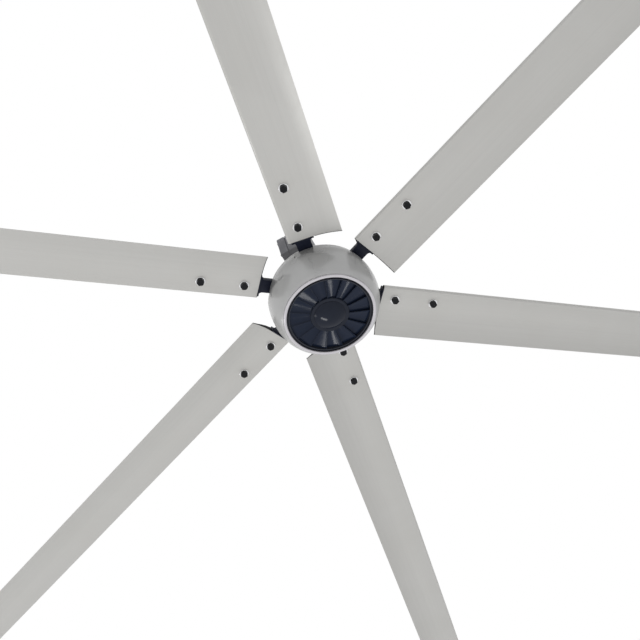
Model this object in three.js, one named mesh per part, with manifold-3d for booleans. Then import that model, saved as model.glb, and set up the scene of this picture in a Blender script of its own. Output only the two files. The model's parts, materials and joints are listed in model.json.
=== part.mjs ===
// High volume low speed ceiling fan: six cambered aluminium blades on a direct drive hub.
// Millimetres, +Z up. The origin is the middle of the mounting plate's top face, which bolts under a beam.
// The fan hangs down from there, and the rotor turns about Z.

import * as THREE from "three";
import { mergeVertices } from "three/addons/utils/BufferGeometryUtils.js";
import Module from "manifold-3d";

const wasm = await Module();
wasm.setup();

// Fits shared by all pieces
const gap = 0.3;
const overrun = 5;
const roundSides = 48;
const smallSides = 12;

// Hanging: mounting plate, drop tube, controller housing
const dropLength = 800;
const plateLength = 160;
const plateWidth = 76;
const plateThickness = 10;
const plateHoleInset = 17;
const plateHoleRadius = 6.5;
const tubeRadius = 24.2;
const tubeWall = 4;
const collarRadius = 33;
const collarThickness = 6;
const boxLength = 160;
const boxWidth = 68;
const boxHeight = 88;
const boxWall = 5;
const boxBottomHeight = 152;
const coverDepth = 25;
const coverWall = 3;
const coverMargin = 8;

// Axle and motor
const axleRadius = 20;
const axleBore = 11;
const axleTipRadius = 17;
const axleFlangeRadius = 33;
const axleFlangeThickness = 12;
const statorRadius = 84;
const statorHeight = 40;
const statorTopDepth = 28;
const statorTeeth = 18;
const toothSlotDepth = 22;
const toothSlotWidth = 9;
const windingHeight = 11;
const windingInner = 60;
const airGap = 1.2;
const magnetThickness = 6;
const magnetOverhang = 8;
const windingClearance = 4;
const bearingWidth = 16;
const upperBearingRadius = 36;
const lowerBearingRadius = 31;
const nutRadius = 26;
const nutThickness = 9;
const axleProud = 3;

// Hub casting and covers, heights counted from the blades' lower skin
const cowlMaxRadius = 150;
const cowlLipRadius = 124.7;
const cowlWall = 2.5;
const cowlDrawIn = 5;
const cowlTopDepth = 1;
const crownDepth = 24;
const lipDepth = 114;
const cowlFlangeWidth = 9;
const cowlFlangeThickness = 3;
const pocketDepth = 6.2;
const pocketFall = 51;
const pocketStepHeight = 0.5;
const pocketStartAngle = -13;
const pocketArchAngle = -8;
const pocketRiseAngle = 2;
const pocketEndAngle = 34;
const pocketWallAngle = 1;
const shellWall = 4;
const shellDepth = 68;
const shellTopHeight = 21;
const shellRimRadius = 136.5;
const shoulderHeight = 12;
const shoulderRadius = 141.8;
const deckThickness = 10;
const skirtWall = 6.5;
const floorThickness = 8;
const bearingBossWall = 7;
const bearingLip = 5;
const topRimThickness = 4.5;
const topDomeRise = 17;
const topWall = 4;
const topNeckRadius = 44;

// Trim ring, turbine grille and nose dome
const openingRadius = 115.3;
const trimHeight = 10.5;
const trimEdgeRadius = 3;
const grilleRingRadius = 110.4;
const grilleRingWall = 3;
const grilleRingHeight = 12;
const grilleFlangeWidth = 9;
const grilleFlangeThickness = 2.5;
const grilleRingAboveLip = 3;
const grilleHubRadius = 52.4;
const grilleHubAboveLip = 8;
const grilleCupWall = 6.4;
const vaneCount = 15;
const vaneAzimuth = 10;
const vaneSweep = 29;
const vaneAboveLip = 5;
const vaneRise = 5;
const vaneThickness = 1.6;
const vaneCamber = 3.2;
const domeRadius = 51;
const domeDrop = 13;
const domeRim = 9;
const domeRimDrop = 0.6;
const domeWall = 1.6;
const domeSkirt = 2.4;

// Arms: struts, blades and their fasteners
const armCount = 6;
const restAzimuth = 9;
const bladePitch = 3;
const neckLength = 20.7;
const flangeThickness = 4;
const flangeHalfWidth = 31;
const flangeBelowSkin = 1.5;
const flangeHeight = 21;
const strutHalfWidth = 20;
const strutThickness = 12;
const strutFillet = 9;
const strutInHub = 50;
const strutPastBolt = 30;
const bladeLength = 1641.5;
const capThickness = 12;
const innerBoltInset = 40;
const boltSpacing = 116;
const boltRadius = 5.9;
const boltLength = 17;
const boltHeadRadius = 10.4;
const boltHeadHeight = 7.5;
const boltHoleClearance = 0.5;
const washerRadius = 13;
const washerThickness = 2.5;

// Blade section, measured from the bolt line on the lower skin
const noseReach = 38.5;
const noseRadius = 6.5;
const flatRear = 22;
const tailReach = 105.7;
const tailDrop = 22.1;
const tailEdge = 1.8;
const bladeHeight = 18.8;
const crownOffset = 4;
const skin = 3;
const tailWall = 2.2;
const webThickness = 3;
const noseLiftAngle = 30;
const tailUpperAngle = 27;
const noseHandleShare = 0.36;
const crownHandleShare = 0.45;
const tailHandleShare = 0.37;
const cavityEndShare = 0.86;

// Heights in the hub's frame, worked out from the sizes above
const washerSeat = -gap;
const headSeat = washerSeat - washerThickness - gap;
const lipLevel = -lipDepth;
const crownLevel = -crownDepth;
const cowlTop = -cowlTopDepth;
const shellTop = shellTopHeight;
const shellBottom = -shellDepth;
const strutTilt = THREE.MathUtils.degToRad(bladePitch);
const deckTop = skin + gap - strutHalfWidth * Math.sin(strutTilt) - gap;
const statorTop = -statorTopDepth;
const statorBottom = statorTop - statorHeight;
const magnetInner = statorRadius + airGap;
const magnetOuter = magnetInner + magnetThickness;
const skirtInner = magnetOuter + gap;
const skirtOuter = skirtInner + skirtWall;
const floorTop = statorBottom - windingHeight - windingClearance;
const floorBottom = floorTop - floorThickness;
const lowerBearingBottom = floorBottom + bearingLip;
const lowerBearingTop = lowerBearingBottom + bearingWidth;
const upperBearingTop = shellTop + topRimThickness + topDomeRise - bearingLip;
const upperBearingBottom = upperBearingTop - bearingWidth;
const nutTop = floorBottom - gap;
const axleTip = nutTop - nutThickness - axleProud;
const boxBottom = boxBottomHeight;
const boxTop = boxBottom + boxHeight;

// Radii along an arm
const pocketFloor = cowlMaxRadius - pocketDepth;
const shellRadius = pocketFloor - gap;
const backedRadius = pocketFloor - cowlWall - gap;
const flangeInner = cowlMaxRadius + neckLength;
const flangeOuter = flangeInner + flangeThickness;
const bladeRoot = flangeOuter + gap;
const bladeEnd = bladeRoot + bladeLength;
const innerBolt = bladeRoot + innerBoltInset;
const outerBolt = innerBolt + boltSpacing;
const strutStart = shellRadius - strutInHub;
const strutEnd = outerBolt + strutPastBolt;

const paint = (color, roughness, metalness) => new THREE.MeshStandardMaterial({ color, roughness, metalness });
const materials = {
  blade: paint(0xb9b8b4, 0.38, 0.35),
  silver: paint(0x9b9b9a, 0.42, 0.55),
  trim: paint(0xc9c5c9, 0.3, 0.6),
  black: paint(0x1c1d22, 0.5, 0.1),
  grille: paint(0x20252f, 0.35, 0.2),
  hanger: paint(0x56575c, 0.55, 0.2),
  steel: paint(0xc4c4c6, 0.3, 0.9),
  bolt: paint(0x17181a, 0.45, 0.4),
  core: paint(0x77797c, 0.5, 0.7),
  copper: paint(0xa8623a, 0.4, 0.8),
  magnet: paint(0x3c3d40, 0.4, 0.6),
};

// Booleans

function toSolid(geometry) {
  const bare = geometry.clone();
  bare.deleteAttribute("normal");
  bare.deleteAttribute("uv");
  const merged = mergeVertices(bare);
  const vertProperties = new Float32Array(merged.attributes.position.array);
  const triVerts = new Uint32Array(merged.index.array);
  return new wasm.Manifold(new wasm.Mesh({ numProp: 3, vertProperties, triVerts }));
}

function toGeometry(solid) {
  const mesh = solid.getMesh();
  const geometry = new THREE.BufferGeometry();
  geometry.setAttribute("position", new THREE.BufferAttribute(new Float32Array(mesh.vertProperties), 3));
  geometry.setIndex(new THREE.BufferAttribute(new Uint32Array(mesh.triVerts), 1));
  return geometry;
}

function cut(body, tools) {
  let solid = toSolid(body);
  for (const tool of tools) solid = solid.subtract(toSolid(tool));
  return toGeometry(solid);
}

function join(pieces) {
  let solid = toSolid(pieces[0]);
  for (const piece of pieces.slice(1)) solid = solid.add(toSolid(piece));
  return toGeometry(solid);
}

// Shapes

function turned(outline, sides = roundSides) {
  // outline: closed loop of [radius, height], up the outside and down the inside
  const points = outline.map(([r, z]) => new THREE.Vector2(r, z));
  points.push(points[0].clone());
  return new THREE.LatheGeometry(points, sides).rotateX(Math.PI / 2);
}

function ring(inner, outer, bottom, top, sides = roundSides) {
  return turned([[inner, bottom], [outer, bottom], [outer, top], [inner, top]], sides);
}

function rod(radius, bottom, top, sides = smallSides) {
  const cylinder = new THREE.CylinderGeometry(radius, radius, top - bottom, sides);
  return cylinder.rotateX(Math.PI / 2).translate(0, 0, (top + bottom) / 2);
}

function block(width, depth, bottom, top) {
  return new THREE.BoxGeometry(width, depth, top - bottom).translate(0, 0, (top + bottom) / 2);
}

function arc(centreX, centreY, radius, fromAngle, toAngle, steps) {
  const points = [];
  for (let i = 0; i <= steps; i += 1) {
    const angle = THREE.MathUtils.degToRad(fromAngle + ((toAngle - fromAngle) * i) / steps);
    points.push([centreX + radius * Math.cos(angle), centreY + radius * Math.sin(angle)]);
  }
  return points;
}

// An extrusion along the arm: outline x is the tangential direction, y is up
const alongArm = new THREE.Matrix4().makeBasis(
  new THREE.Vector3(0, 1, 0),
  new THREE.Vector3(0, 0, 1),
  new THREE.Vector3(1, 0, 0),
);

function armExtrusion(outline, holes, start, end) {
  const shape = new THREE.Shape(outline.map(([x, y]) => new THREE.Vector2(x, y)));
  for (const hole of holes) shape.holes.push(new THREE.Path(hole.map(([x, y]) => new THREE.Vector2(x, y))));
  const geometry = new THREE.ExtrudeGeometry(shape, { depth: end - start, bevelEnabled: false });
  return geometry.applyMatrix4(alongArm).translate(start, 0, 0);
}

function rectangle(left, right, bottom, top) {
  return [[left, bottom], [right, bottom], [right, top], [left, top]];
}

// Blade section: flat front under the bolts, a rounded nose and a tail that curves down

const crownSteps = 6;
const tailSteps = 8;
const noseSteps = 5;
const lowerSteps = 6;

function lowerSkin(x) {
  const behind = Math.max(0, x - flatRear) / (tailReach - flatRear);
  return -tailDrop * behind * behind;
}

function noseLift() {
  const lift = 90 + noseLiftAngle;
  return arc(-(noseReach - noseRadius), noseRadius, noseRadius, lift, lift, 1)[0];
}

function upperCurves() {
  const [x0, y0] = noseLift();
  const up = THREE.MathUtils.degToRad(noseLiftAngle);
  const down = THREE.MathUtils.degToRad(tailUpperAngle);
  const front = crownOffset - x0;
  const rear = tailReach - crownOffset;
  const vector = (x, y) => new THREE.Vector2(x, y);
  const noseHandle = noseHandleShare * front;
  const tailHandle = tailHandleShare * rear;
  const tailTop = tailEdge - tailDrop;
  const rise = new THREE.CubicBezierCurve(
    vector(x0, y0),
    vector(x0 + noseHandle * Math.cos(up), y0 + noseHandle * Math.sin(up)),
    vector(crownOffset - noseHandle, bladeHeight),
    vector(crownOffset, bladeHeight),
  );
  const fall = new THREE.CubicBezierCurve(
    vector(crownOffset, bladeHeight),
    vector(crownOffset + crownHandleShare * rear, bladeHeight),
    vector(tailReach - tailHandle * Math.cos(down), tailTop + tailHandle * Math.sin(down)),
    vector(tailReach, tailTop),
  );
  return { rise, fall };
}

function bladeOutline() {
  const { rise, fall } = upperCurves();
  const outline = [];
  for (let i = 0; i <= lowerSteps; i += 1) {
    const x = tailReach + ((flatRear - tailReach) * i) / lowerSteps;
    outline.push([x, lowerSkin(x)]);
  }
  const nose = arc(-(noseReach - noseRadius), noseRadius, noseRadius, 270, 90 + noseLiftAngle, noseSteps);
  outline.push(...nose);
  const upper = [...rise.getPoints(crownSteps).slice(1), ...fall.getPoints(tailSteps).slice(1)];
  outline.push(...upper.map((p) => [p.x, p.y]));
  return outline.reverse();
}

function tailCavity() {
  const start = strutHalfWidth + gap + webThickness;
  const { fall } = upperCurves();
  const roof = [];
  for (const point of fall.getPoints(tailSteps)) {
    const inRange = point.x > start && point.x < tailReach * cavityEndShare;
    if (inRange) roof.push([point.x, point.y - tailWall]);
  }
  const floor = roof.map(([x]) => [x, lowerSkin(x) + tailWall]).reverse();
  return [...roof, ...floor];
}

function strutPocket() {
  const half = strutHalfWidth + gap;
  return rectangle(-half, half, skin, skin + gap + strutThickness + gap);
}

function boltHoles(radius, bottom, top) {
  return [innerBolt, outerBolt].map((r) => rod(radius, bottom, top).translate(r, 0, 0));
}

function blade() {
  const body = armExtrusion(bladeOutline(), [strutPocket(), tailCavity()], bladeRoot, bladeEnd);
  return cut(body, boltHoles(boltRadius + boltHoleClearance, -overrun, skin + gap));
}

function tipCap() {
  const start = bladeEnd + gap;
  return armExtrusion(bladeOutline(), [], start, start + capThickness);
}

// Strut: a flat bar from inside the hub to past the outer bolt, with the plate that stops the blade's root

function strutBottom() {
  return skin + gap;
}

function strut() {
  const bottom = strutBottom();
  const neck = strutHalfWidth;
  const flare = neck + strutFillet;
  const half = [];
  half.push([strutStart, neck]);
  half.push(...arc(flangeInner - strutFillet, flare, strutFillet, 270, 360, 4));
  half.push([flangeInner + flangeThickness / 2, flare]);
  half.push([flangeInner + flangeThickness / 2, neck]);
  half.push([strutEnd, neck]);
  const mirrored = half.map(([x, y]) => [x, -y]).reverse();
  const plan = new THREE.Shape([...mirrored, ...half].map(([x, y]) => new THREE.Vector2(x, y)));
  const bar = new THREE.ExtrudeGeometry(plan, { depth: strutThickness, bevelEnabled: false });
  bar.translate(0, 0, bottom);
  const low = -flangeBelowSkin;
  const plate = armExtrusion(
    rectangle(-flangeHalfWidth, flangeHalfWidth, low, low + flangeHeight), [], flangeInner, flangeOuter,
  );
  const body = join([bar, plate]);
  return cut(body, boltHoles(boltRadius + boltHoleClearance, -overrun, bottom + strutThickness + overrun));
}

function bolt() {
  const head = rod(boltHeadRadius, headSeat - boltHeadHeight, headSeat, 6);
  const shank = rod(boltRadius, headSeat - boltHeadHeight / 2, headSeat + boltLength);
  return join([head, shank]);
}

function washer() {
  const bore = boltRadius + boltHoleClearance;
  return ring(bore, washerRadius, washerSeat - washerThickness, washerSeat, smallSides);
}

// Hub

const cowlHandleLowShare = 0.155;
const cowlHandleHighShare = 0.415;
const cowlHandleBulgeShare = 0.7;

function cowlCurve() {
  const rise = crownLevel - lipLevel;
  const swell = cowlMaxRadius - cowlLipRadius;
  return new THREE.CubicBezierCurve(
    new THREE.Vector2(cowlLipRadius, lipLevel),
    new THREE.Vector2(cowlLipRadius + swell * cowlHandleBulgeShare, lipLevel + rise * cowlHandleLowShare),
    new THREE.Vector2(cowlMaxRadius, crownLevel - rise * cowlHandleHighShare),
    new THREE.Vector2(cowlMaxRadius, crownLevel),
  );
}

function cowlRadiusAt(level) {
  if (level > crownLevel) {
    return cowlMaxRadius - cowlDrawIn * ((level - crownLevel) / (cowlTop - crownLevel)) ** 2;
  }
  const curve = cowlCurve();
  let low = 0;
  let high = 1;
  for (let i = 0; i < 40; i += 1) {
    const middle = (low + high) / 2;
    if (curve.getPoint(middle).y < level) low = middle;
    else high = middle;
  }
  return curve.getPoint(low).x;
}

const shellBottomRadius = Math.min(backedRadius, cowlRadiusAt(shellBottom) - cowlWall - gap);

function hubCasting() {
  const inner = shellBottomRadius - shellWall;
  const bearingBore = lowerBearingRadius + gap;
  const deckBottom = deckTop - deckThickness;
  const shell = turned([
    [axleTipRadius + bearingLip, floorBottom],
    [skirtOuter, floorBottom],
    [skirtOuter, deckBottom],
    [inner, deckBottom],
    [inner, shellBottom],
    [shellBottomRadius, shellBottom],
    [backedRadius, (shellBottom + crownLevel) / 2],
    [backedRadius, cowlTop + gap],
    [shellRadius, cowlTop + gap],
    [shellRadius, deckTop],
    [shoulderRadius, shoulderHeight],
    [shellRimRadius, shellTop],
    [shellRimRadius - shellWall, shellTop],
    [shoulderRadius - shellWall, shoulderHeight],
    [shellRadius - shellWall, deckTop],
    [skirtInner, deckTop],
    [skirtInner, floorTop],
    [bearingBore + bearingBossWall, floorTop],
    [bearingBore + bearingBossWall, lowerBearingTop],
    [bearingBore, lowerBearingTop],
    [bearingBore, lowerBearingBottom - gap],
    [axleTipRadius + bearingLip, lowerBearingBottom - gap],
  ]);
  const windows = [];
  for (let k = 0; k < armCount; k += 1) {
    const half = strutHalfWidth + gap;
    const low = strutBottom() - gap;
    const high = strutBottom() + strutThickness + gap;
    const start = shellRadius - shellWall - 2 * overrun;
    const window = armExtrusion(rectangle(-half, half, low, high), [], start, shellRadius + overrun);
    windows.push(window.rotateX(-strutTilt).rotateZ((k * 2 * Math.PI) / armCount));
  }
  return cut(shell, windows);
}

function hubTopCover() {
  const rim = shellTop + gap;
  const rimTop = rim + topRimThickness;
  const crown = rimTop + topDomeRise;
  const shoulder = shellRimRadius - (shellRimRadius - topNeckRadius) / 8;
  const middle = (shellRimRadius + topNeckRadius) / 2;
  const bore = upperBearingRadius + gap;
  const neckBottom = upperBearingBottom - gap;
  return turned([
    [shellRimRadius, rim],
    [shellRimRadius - topRimThickness / 2, rimTop],
    [shoulder, rimTop + topDomeRise / 3],
    [middle, crown - topDomeRise / 6],
    [topNeckRadius, crown],
    [axleRadius + bearingLip, crown],
    [axleRadius + bearingLip, upperBearingTop + gap],
    [bore, upperBearingTop + gap],
    [bore, neckBottom],
    [topNeckRadius, neckBottom],
    [topNeckRadius, crown - topWall],
    [middle, crown - topDomeRise / 6 - topWall],
    [shoulder, rim],
  ]);
}

// Under each strut the cowl has a shallow pocket. It starts with a sharp wall on one side of the strut,
// and its floor rises until it is flush on the other side. Angles are in degrees from the strut.

const pocketArchPower = 1.5;

function pocketEdge(angle) {
  if (angle > pocketEndAngle) {
    const back = (angle - pocketEndAngle) / (pocketStartAngle + 360 / armCount - pocketEndAngle);
    return THREE.MathUtils.lerp(crownLevel - pocketFall, crownLevel, back);
  }
  const share = Math.max(0, angle - pocketArchAngle) / (pocketEndAngle - pocketArchAngle);
  return crownLevel - pocketFall * share ** pocketArchPower;
}

function pocketFloorAt(level, angle) {
  const rise = THREE.MathUtils.smoothstep(angle, pocketRiseAngle, pocketEndAngle);
  return THREE.MathUtils.lerp(pocketFloor, Math.max(pocketFloor, cowlRadiusAt(level)), rise);
}

function cowlSection(angle) {
  // Up the outside to the pocket's edge, up the pocket's floor, down the inside and round the flange
  const edge = pocketEdge(angle);
  const floorStart = edge + pocketStepHeight;
  const flangeTop = lipLevel + cowlFlangeThickness;
  const flangeInnerRadius = cowlLipRadius - cowlFlangeWidth;
  const insideLimit = pocketFloor - cowlWall;
  const outsideSteps = 7;
  const floorSteps = 4;
  const insideSteps = 6;
  const section = [];
  for (let j = 0; j <= outsideSteps; j += 1) {
    const level = lipLevel + ((edge - lipLevel) * j) / outsideSteps;
    section.push([cowlRadiusAt(level), level]);
  }
  for (let j = 0; j <= floorSteps; j += 1) {
    const level = floorStart + ((cowlTop - floorStart) * j) / floorSteps;
    section.push([pocketFloorAt(level, angle), level]);
  }
  for (let j = 0; j <= insideSteps; j += 1) {
    const level = cowlTop + ((flangeTop - cowlTop) * j) / insideSteps;
    section.push([Math.min(insideLimit, cowlRadiusAt(level) - cowlWall), level]);
  }
  return [...section, [flangeInnerRadius, flangeTop], [flangeInnerRadius, lipLevel]];
}

function hubCowl() {
  const columns = 18;
  const sector = 360 / armCount;
  const rows = [];
  for (let k = 0; k < armCount; k += 1) {
    for (let i = 0; i < columns; i += 1) {
      const angle = pocketStartAngle + ((sector - pocketWallAngle) * i) / (columns - 1);
      const turn = THREE.MathUtils.degToRad(k * sector + angle);
      rows.push(cowlSection(angle).map(([r, z]) => [r * Math.cos(turn), r * Math.sin(turn), z]));
    }
  }
  return loft(rows);
}

function loft(rows) {
  // rows: closed sections of equal length, joined one to the next all the way round
  const count = rows[0].length;
  const positions = rows.flat().flat();
  const index = [];
  for (let i = 0; i < rows.length; i += 1) {
    const next = (i + 1) % rows.length;
    for (let j = 0; j < count; j += 1) {
      const up = (j + 1) % count;
      const a = i * count + j;
      const b = next * count + j;
      const c = next * count + up;
      const d = i * count + up;
      index.push(a, b, c, a, c, d);
    }
  }
  const geometry = new THREE.BufferGeometry();
  geometry.setAttribute("position", new THREE.Float32BufferAttribute(positions, 3));
  geometry.setIndex(index);
  return geometry;
}

function trimRing() {
  const top = lipLevel - gap;
  const bottom = top - trimHeight / 2;
  const inner = openingRadius;
  const outer = cowlLipRadius;
  return turned([
    [inner, top],
    [inner, bottom + trimEdgeRadius],
    [inner + trimEdgeRadius, bottom],
    [outer - trimEdgeRadius, bottom],
    [outer, bottom + trimEdgeRadius],
    [outer, top],
  ]);
}

function vane() {
  // A curved strip with its lower edge leading; both faces share their edges with the same stations.
  const inner = grilleHubRadius - vaneThickness / 2;
  const outer = grilleRingRadius - grilleRingWall / 2;
  const radialSteps = 3;
  const chordSteps = 3;
  const base = trimBottom() + vaneAboveLip;
  const sweep = THREE.MathUtils.degToRad(vaneSweep);
  const rows = [];
  for (let i = 0; i <= radialSteps; i += 1) {
    const r = inner + ((outer - inner) * i) / radialSteps;
    const lower = [];
    const upper = [];
    for (let j = 0; j <= chordSteps; j += 1) {
      const share = j / chordSteps;
      const bulge = vaneCamber * Math.sin(Math.PI * share);
      const z = base + vaneRise * share + bulge;
      const angle = sweep * share;
      lower.push([r * Math.cos(angle), r * Math.sin(angle), z]);
      upper.push([r * Math.cos(angle), r * Math.sin(angle), z + vaneThickness]);
    }
    rows.push([...lower, ...upper.reverse()]);
  }
  return cappedLoft(rows.reverse());
}

function cappedLoft(rows) {
  // rows: closed sections of equal length; the first and last are closed by strips across each section
  const count = rows[0].length;
  const positions = rows.flat().flat();
  const index = [];
  for (let i = 0; i + 1 < rows.length; i += 1) {
    for (let j = 0; j < count; j += 1) {
      const up = (j + 1) % count;
      const a = i * count + j;
      const b = (i + 1) * count + j;
      const c = (i + 1) * count + up;
      const d = i * count + up;
      index.push(a, b, c, a, c, d);
    }
  }
  const last = (rows.length - 1) * count;
  for (let j = 0; j + 1 < count / 2; j += 1) {
    const far = count - 1 - j;
    index.push(j, j + 1, far - 1, j, far - 1, far);
    index.push(last + j, last + far, last + far - 1, last + j, last + far - 1, last + j + 1);
  }
  const geometry = new THREE.BufferGeometry();
  geometry.setAttribute("position", new THREE.Float32BufferAttribute(positions, 3));
  geometry.setIndex(index);
  return geometry;
}

function trimBottom() {
  return lipLevel - gap - trimHeight / 2;
}

function turbineGrille() {
  const low = trimBottom() + grilleRingAboveLip;
  const high = lipLevel + cowlFlangeThickness + gap;
  const outer = turned([
    [grilleRingRadius - grilleRingWall, low],
    [grilleRingRadius, low],
    [grilleRingRadius, high],
    [grilleRingRadius + grilleFlangeWidth, high],
    [grilleRingRadius + grilleFlangeWidth, high + grilleFlangeThickness],
    [grilleRingRadius, low + grilleRingHeight + grilleFlangeThickness],
    [grilleRingRadius - grilleRingWall, low + grilleRingHeight + grilleFlangeThickness],
  ]);
  const hubLow = trimBottom() + grilleHubAboveLip;
  const hubHigh = trimBottom() + vaneAboveLip + vaneRise + vaneThickness + vaneCamber;
  const cupInner = grilleHubRadius - grilleCupWall;
  const cupFloor = hubLow + grilleFlangeThickness;
  const cup = rod(grilleHubRadius, hubLow, hubHigh, roundSides);
  const hub = cut(cup, [rod(cupInner, cupFloor, hubHigh + overrun, roundSides)]);
  const pieces = [outer, hub];
  for (let k = 0; k < vaneCount; k += 1) {
    const azimuth = THREE.MathUtils.degToRad(vaneAzimuth) + (k * 2 * Math.PI) / vaneCount;
    pieces.push(vane().rotateZ(azimuth));
  }
  return join(pieces);
}

function noseDome() {
  // A flat rim, a small step and a shallow dome, hollow behind and open towards the grille's hub
  const top = trimBottom() + grilleHubAboveLip - gap;
  const rimLevel = top - domeSkirt;
  const stepRadius = domeRadius - domeRim;
  const stepLevel = rimLevel - domeRimDrop;
  const inside = rimLevel + domeWall;
  const bulge = domeDrop - domeRimDrop;
  const steps = 5;
  const outer = [];
  const inner = [];
  for (let i = 0; i <= steps; i += 1) {
    const share = i / steps;
    const level = stepLevel - bulge * (1 - share * share);
    outer.push([stepRadius * share, level]);
    inner.push([(stepRadius - domeWall) * share, level + domeWall]);
  }
  const rim = [
    [stepRadius, rimLevel],
    [domeRadius, rimLevel],
    [domeRadius, top],
    [domeRadius - domeWall, top],
    [domeRadius - domeWall, inside],
    [stepRadius - domeWall, inside],
  ];
  const points = [...outer, ...rim, ...inner.reverse()].map(([r, z]) => new THREE.Vector2(r, z));
  return new THREE.LatheGeometry(points, roundSides).rotateX(Math.PI / 2);
}

// Axle and motor

function axle() {
  const flangeTop = boxBottom - gap;
  const step = lowerBearingTop + gap;
  return turned([
    [axleBore, axleTip],
    [axleTipRadius, axleTip],
    [axleTipRadius, step],
    [axleRadius, step],
    [axleRadius, flangeTop - axleFlangeThickness],
    [axleFlangeRadius, flangeTop - axleFlangeThickness],
    [axleFlangeRadius, flangeTop],
    [axleBore, flangeTop],
  ], roundSides / 2);
}

function statorCore() {
  const points = [];
  const toothAngle = (2 * Math.PI) / statorTeeth;
  const root = statorRadius - toothSlotDepth;
  for (let k = 0; k < statorTeeth; k += 1) {
    const slot = k * toothAngle;
    const outerHalf = Math.asin(toothSlotWidth / 2 / statorRadius);
    const innerHalf = Math.asin(toothSlotWidth / 2 / root);
    const corners = [[root, -innerHalf], [root, innerHalf], [statorRadius, outerHalf]];
    corners.push([statorRadius, toothAngle - outerHalf]);
    for (const [r, a] of corners) {
      points.push(new THREE.Vector2(r * Math.cos(slot + a), r * Math.sin(slot + a)));
    }
  }
  const shape = new THREE.Shape(points);
  const bore = new THREE.Path();
  bore.absarc(0, 0, axleRadius + gap, 0, 2 * Math.PI, true);
  shape.holes.push(bore);
  const options = { depth: statorHeight, bevelEnabled: false, curveSegments: roundSides / 2 };
  return new THREE.ExtrudeGeometry(shape, options).translate(0, 0, statorBottom);
}

function winding(bottom) {
  const outer = statorRadius - airGap;
  const edge = windingHeight / 3;
  return turned([
    [windingInner, bottom],
    [outer, bottom],
    [outer, bottom + windingHeight - edge],
    [outer - edge, bottom + windingHeight],
    [windingInner + edge, bottom + windingHeight],
    [windingInner, bottom + windingHeight - edge],
  ], roundSides / 2);
}

function axleNut() {
  const bottom = nutTop - nutThickness;
  const nut = rod(nutRadius, bottom, nutTop, 6);
  return cut(nut, [rod(axleTipRadius + gap, bottom - overrun, nutTop + overrun, roundSides / 2)]);
}

// Hanging

function mountingPlate() {
  const plate = block(plateLength, plateWidth, -plateThickness, 0);
  const holeX = plateLength / 2 - plateHoleInset;
  const holeY = plateWidth / 2 - plateHoleInset;
  const holes = [];
  for (const x of [-holeX, holeX]) {
    for (const y of [-holeY, holeY]) {
      holes.push(rod(plateHoleRadius, -plateThickness - overrun, overrun).translate(x, y, 0));
    }
  }
  return cut(plate, holes);
}

function dropTube() {
  const top = -plateThickness - gap;
  const bottom = boxTop - dropLength + gap;
  const bore = tubeRadius - tubeWall;
  return turned([
    [bore, bottom],
    [collarRadius, bottom],
    [collarRadius, bottom + collarThickness],
    [tubeRadius, bottom + collarThickness],
    [tubeRadius, top],
    [bore, top],
  ]);
}

function controllerHousing() {
  const outer = block(boxLength, boxWidth, boxBottom, boxTop);
  const hollow = block(boxLength - 2 * boxWall, boxWidth - 2 * boxWall, boxBottom + boxWall, boxTop - boxWall);
  const openingLength = boxLength - 2 * (boxWall + coverMargin);
  const openingLow = boxBottom + boxWall + coverMargin;
  const openingHigh = boxTop - boxWall - coverMargin;
  const opening = block(openingLength, boxWall + 2 * overrun, openingLow, openingHigh);
  return cut(outer, [
    hollow,
    opening.translate(0, -boxWidth / 2, 0),
    rod(axleBore, boxBottom - overrun, boxBottom + boxWall + overrun),
    rod(axleBore, boxTop - boxWall - overrun, boxTop + overrun),
  ]);
}

function controllerCover() {
  // A tray, open towards the housing
  const tray = block(boxLength, coverDepth, boxBottom, boxTop);
  const hollow = block(boxLength - 2 * coverWall, coverDepth, boxBottom + coverWall, boxTop - coverWall);
  const cover = cut(tray, [hollow.translate(0, coverWall, 0)]);
  return cover.translate(0, -boxWidth / 2 - gap - coverDepth / 2, 0);
}

// Assembly

const fan = new THREE.Group();

function add(group, name, geometry, material) {
  const mesh = new THREE.Mesh(geometry, material);
  mesh.name = name;
  group.add(mesh);
}

const hub = new THREE.Group();
hub.position.z = -dropLength;
fan.add(hub);

add(fan, "mounting_plate", mountingPlate(), materials.hanger);
add(fan, "drop_tube", dropTube(), materials.hanger);
add(hub, "controller_housing", controllerHousing(), materials.hanger);
add(hub, "controller_cover", controllerCover(), materials.hanger);
add(hub, "axle", axle(), materials.steel);
add(hub, "stator_core", statorCore(), materials.core);
add(hub, "upper_winding", winding(statorTop + gap), materials.copper);
add(hub, "lower_winding", winding(statorBottom - windingHeight - gap), materials.copper);
add(hub, "axle_nut", axleNut(), materials.steel);

const rotor = new THREE.Group();
rotor.rotation.z = THREE.MathUtils.degToRad(restAzimuth);
hub.add(rotor);

const upperBearing = ring(axleRadius + gap, upperBearingRadius, upperBearingBottom, upperBearingTop);
const lowerBearing = ring(axleTipRadius + gap, lowerBearingRadius, lowerBearingBottom, lowerBearingTop);
const magnets = ring(magnetInner, magnetOuter, statorBottom - magnetOverhang, statorTop + magnetOverhang);

add(rotor, "hub_casting", hubCasting(), materials.silver);
add(rotor, "hub_top_cover", hubTopCover(), materials.silver);
add(rotor, "hub_cowl", hubCowl(), materials.silver);
add(rotor, "trim_ring", trimRing(), materials.trim);
add(rotor, "turbine_grille", turbineGrille(), materials.grille);
add(rotor, "nose_dome", noseDome(), materials.grille);
add(rotor, "magnet_ring", magnets, materials.magnet);
add(rotor, "upper_bearing", upperBearing, materials.steel);
add(rotor, "lower_bearing", lowerBearing, materials.steel);

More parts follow.
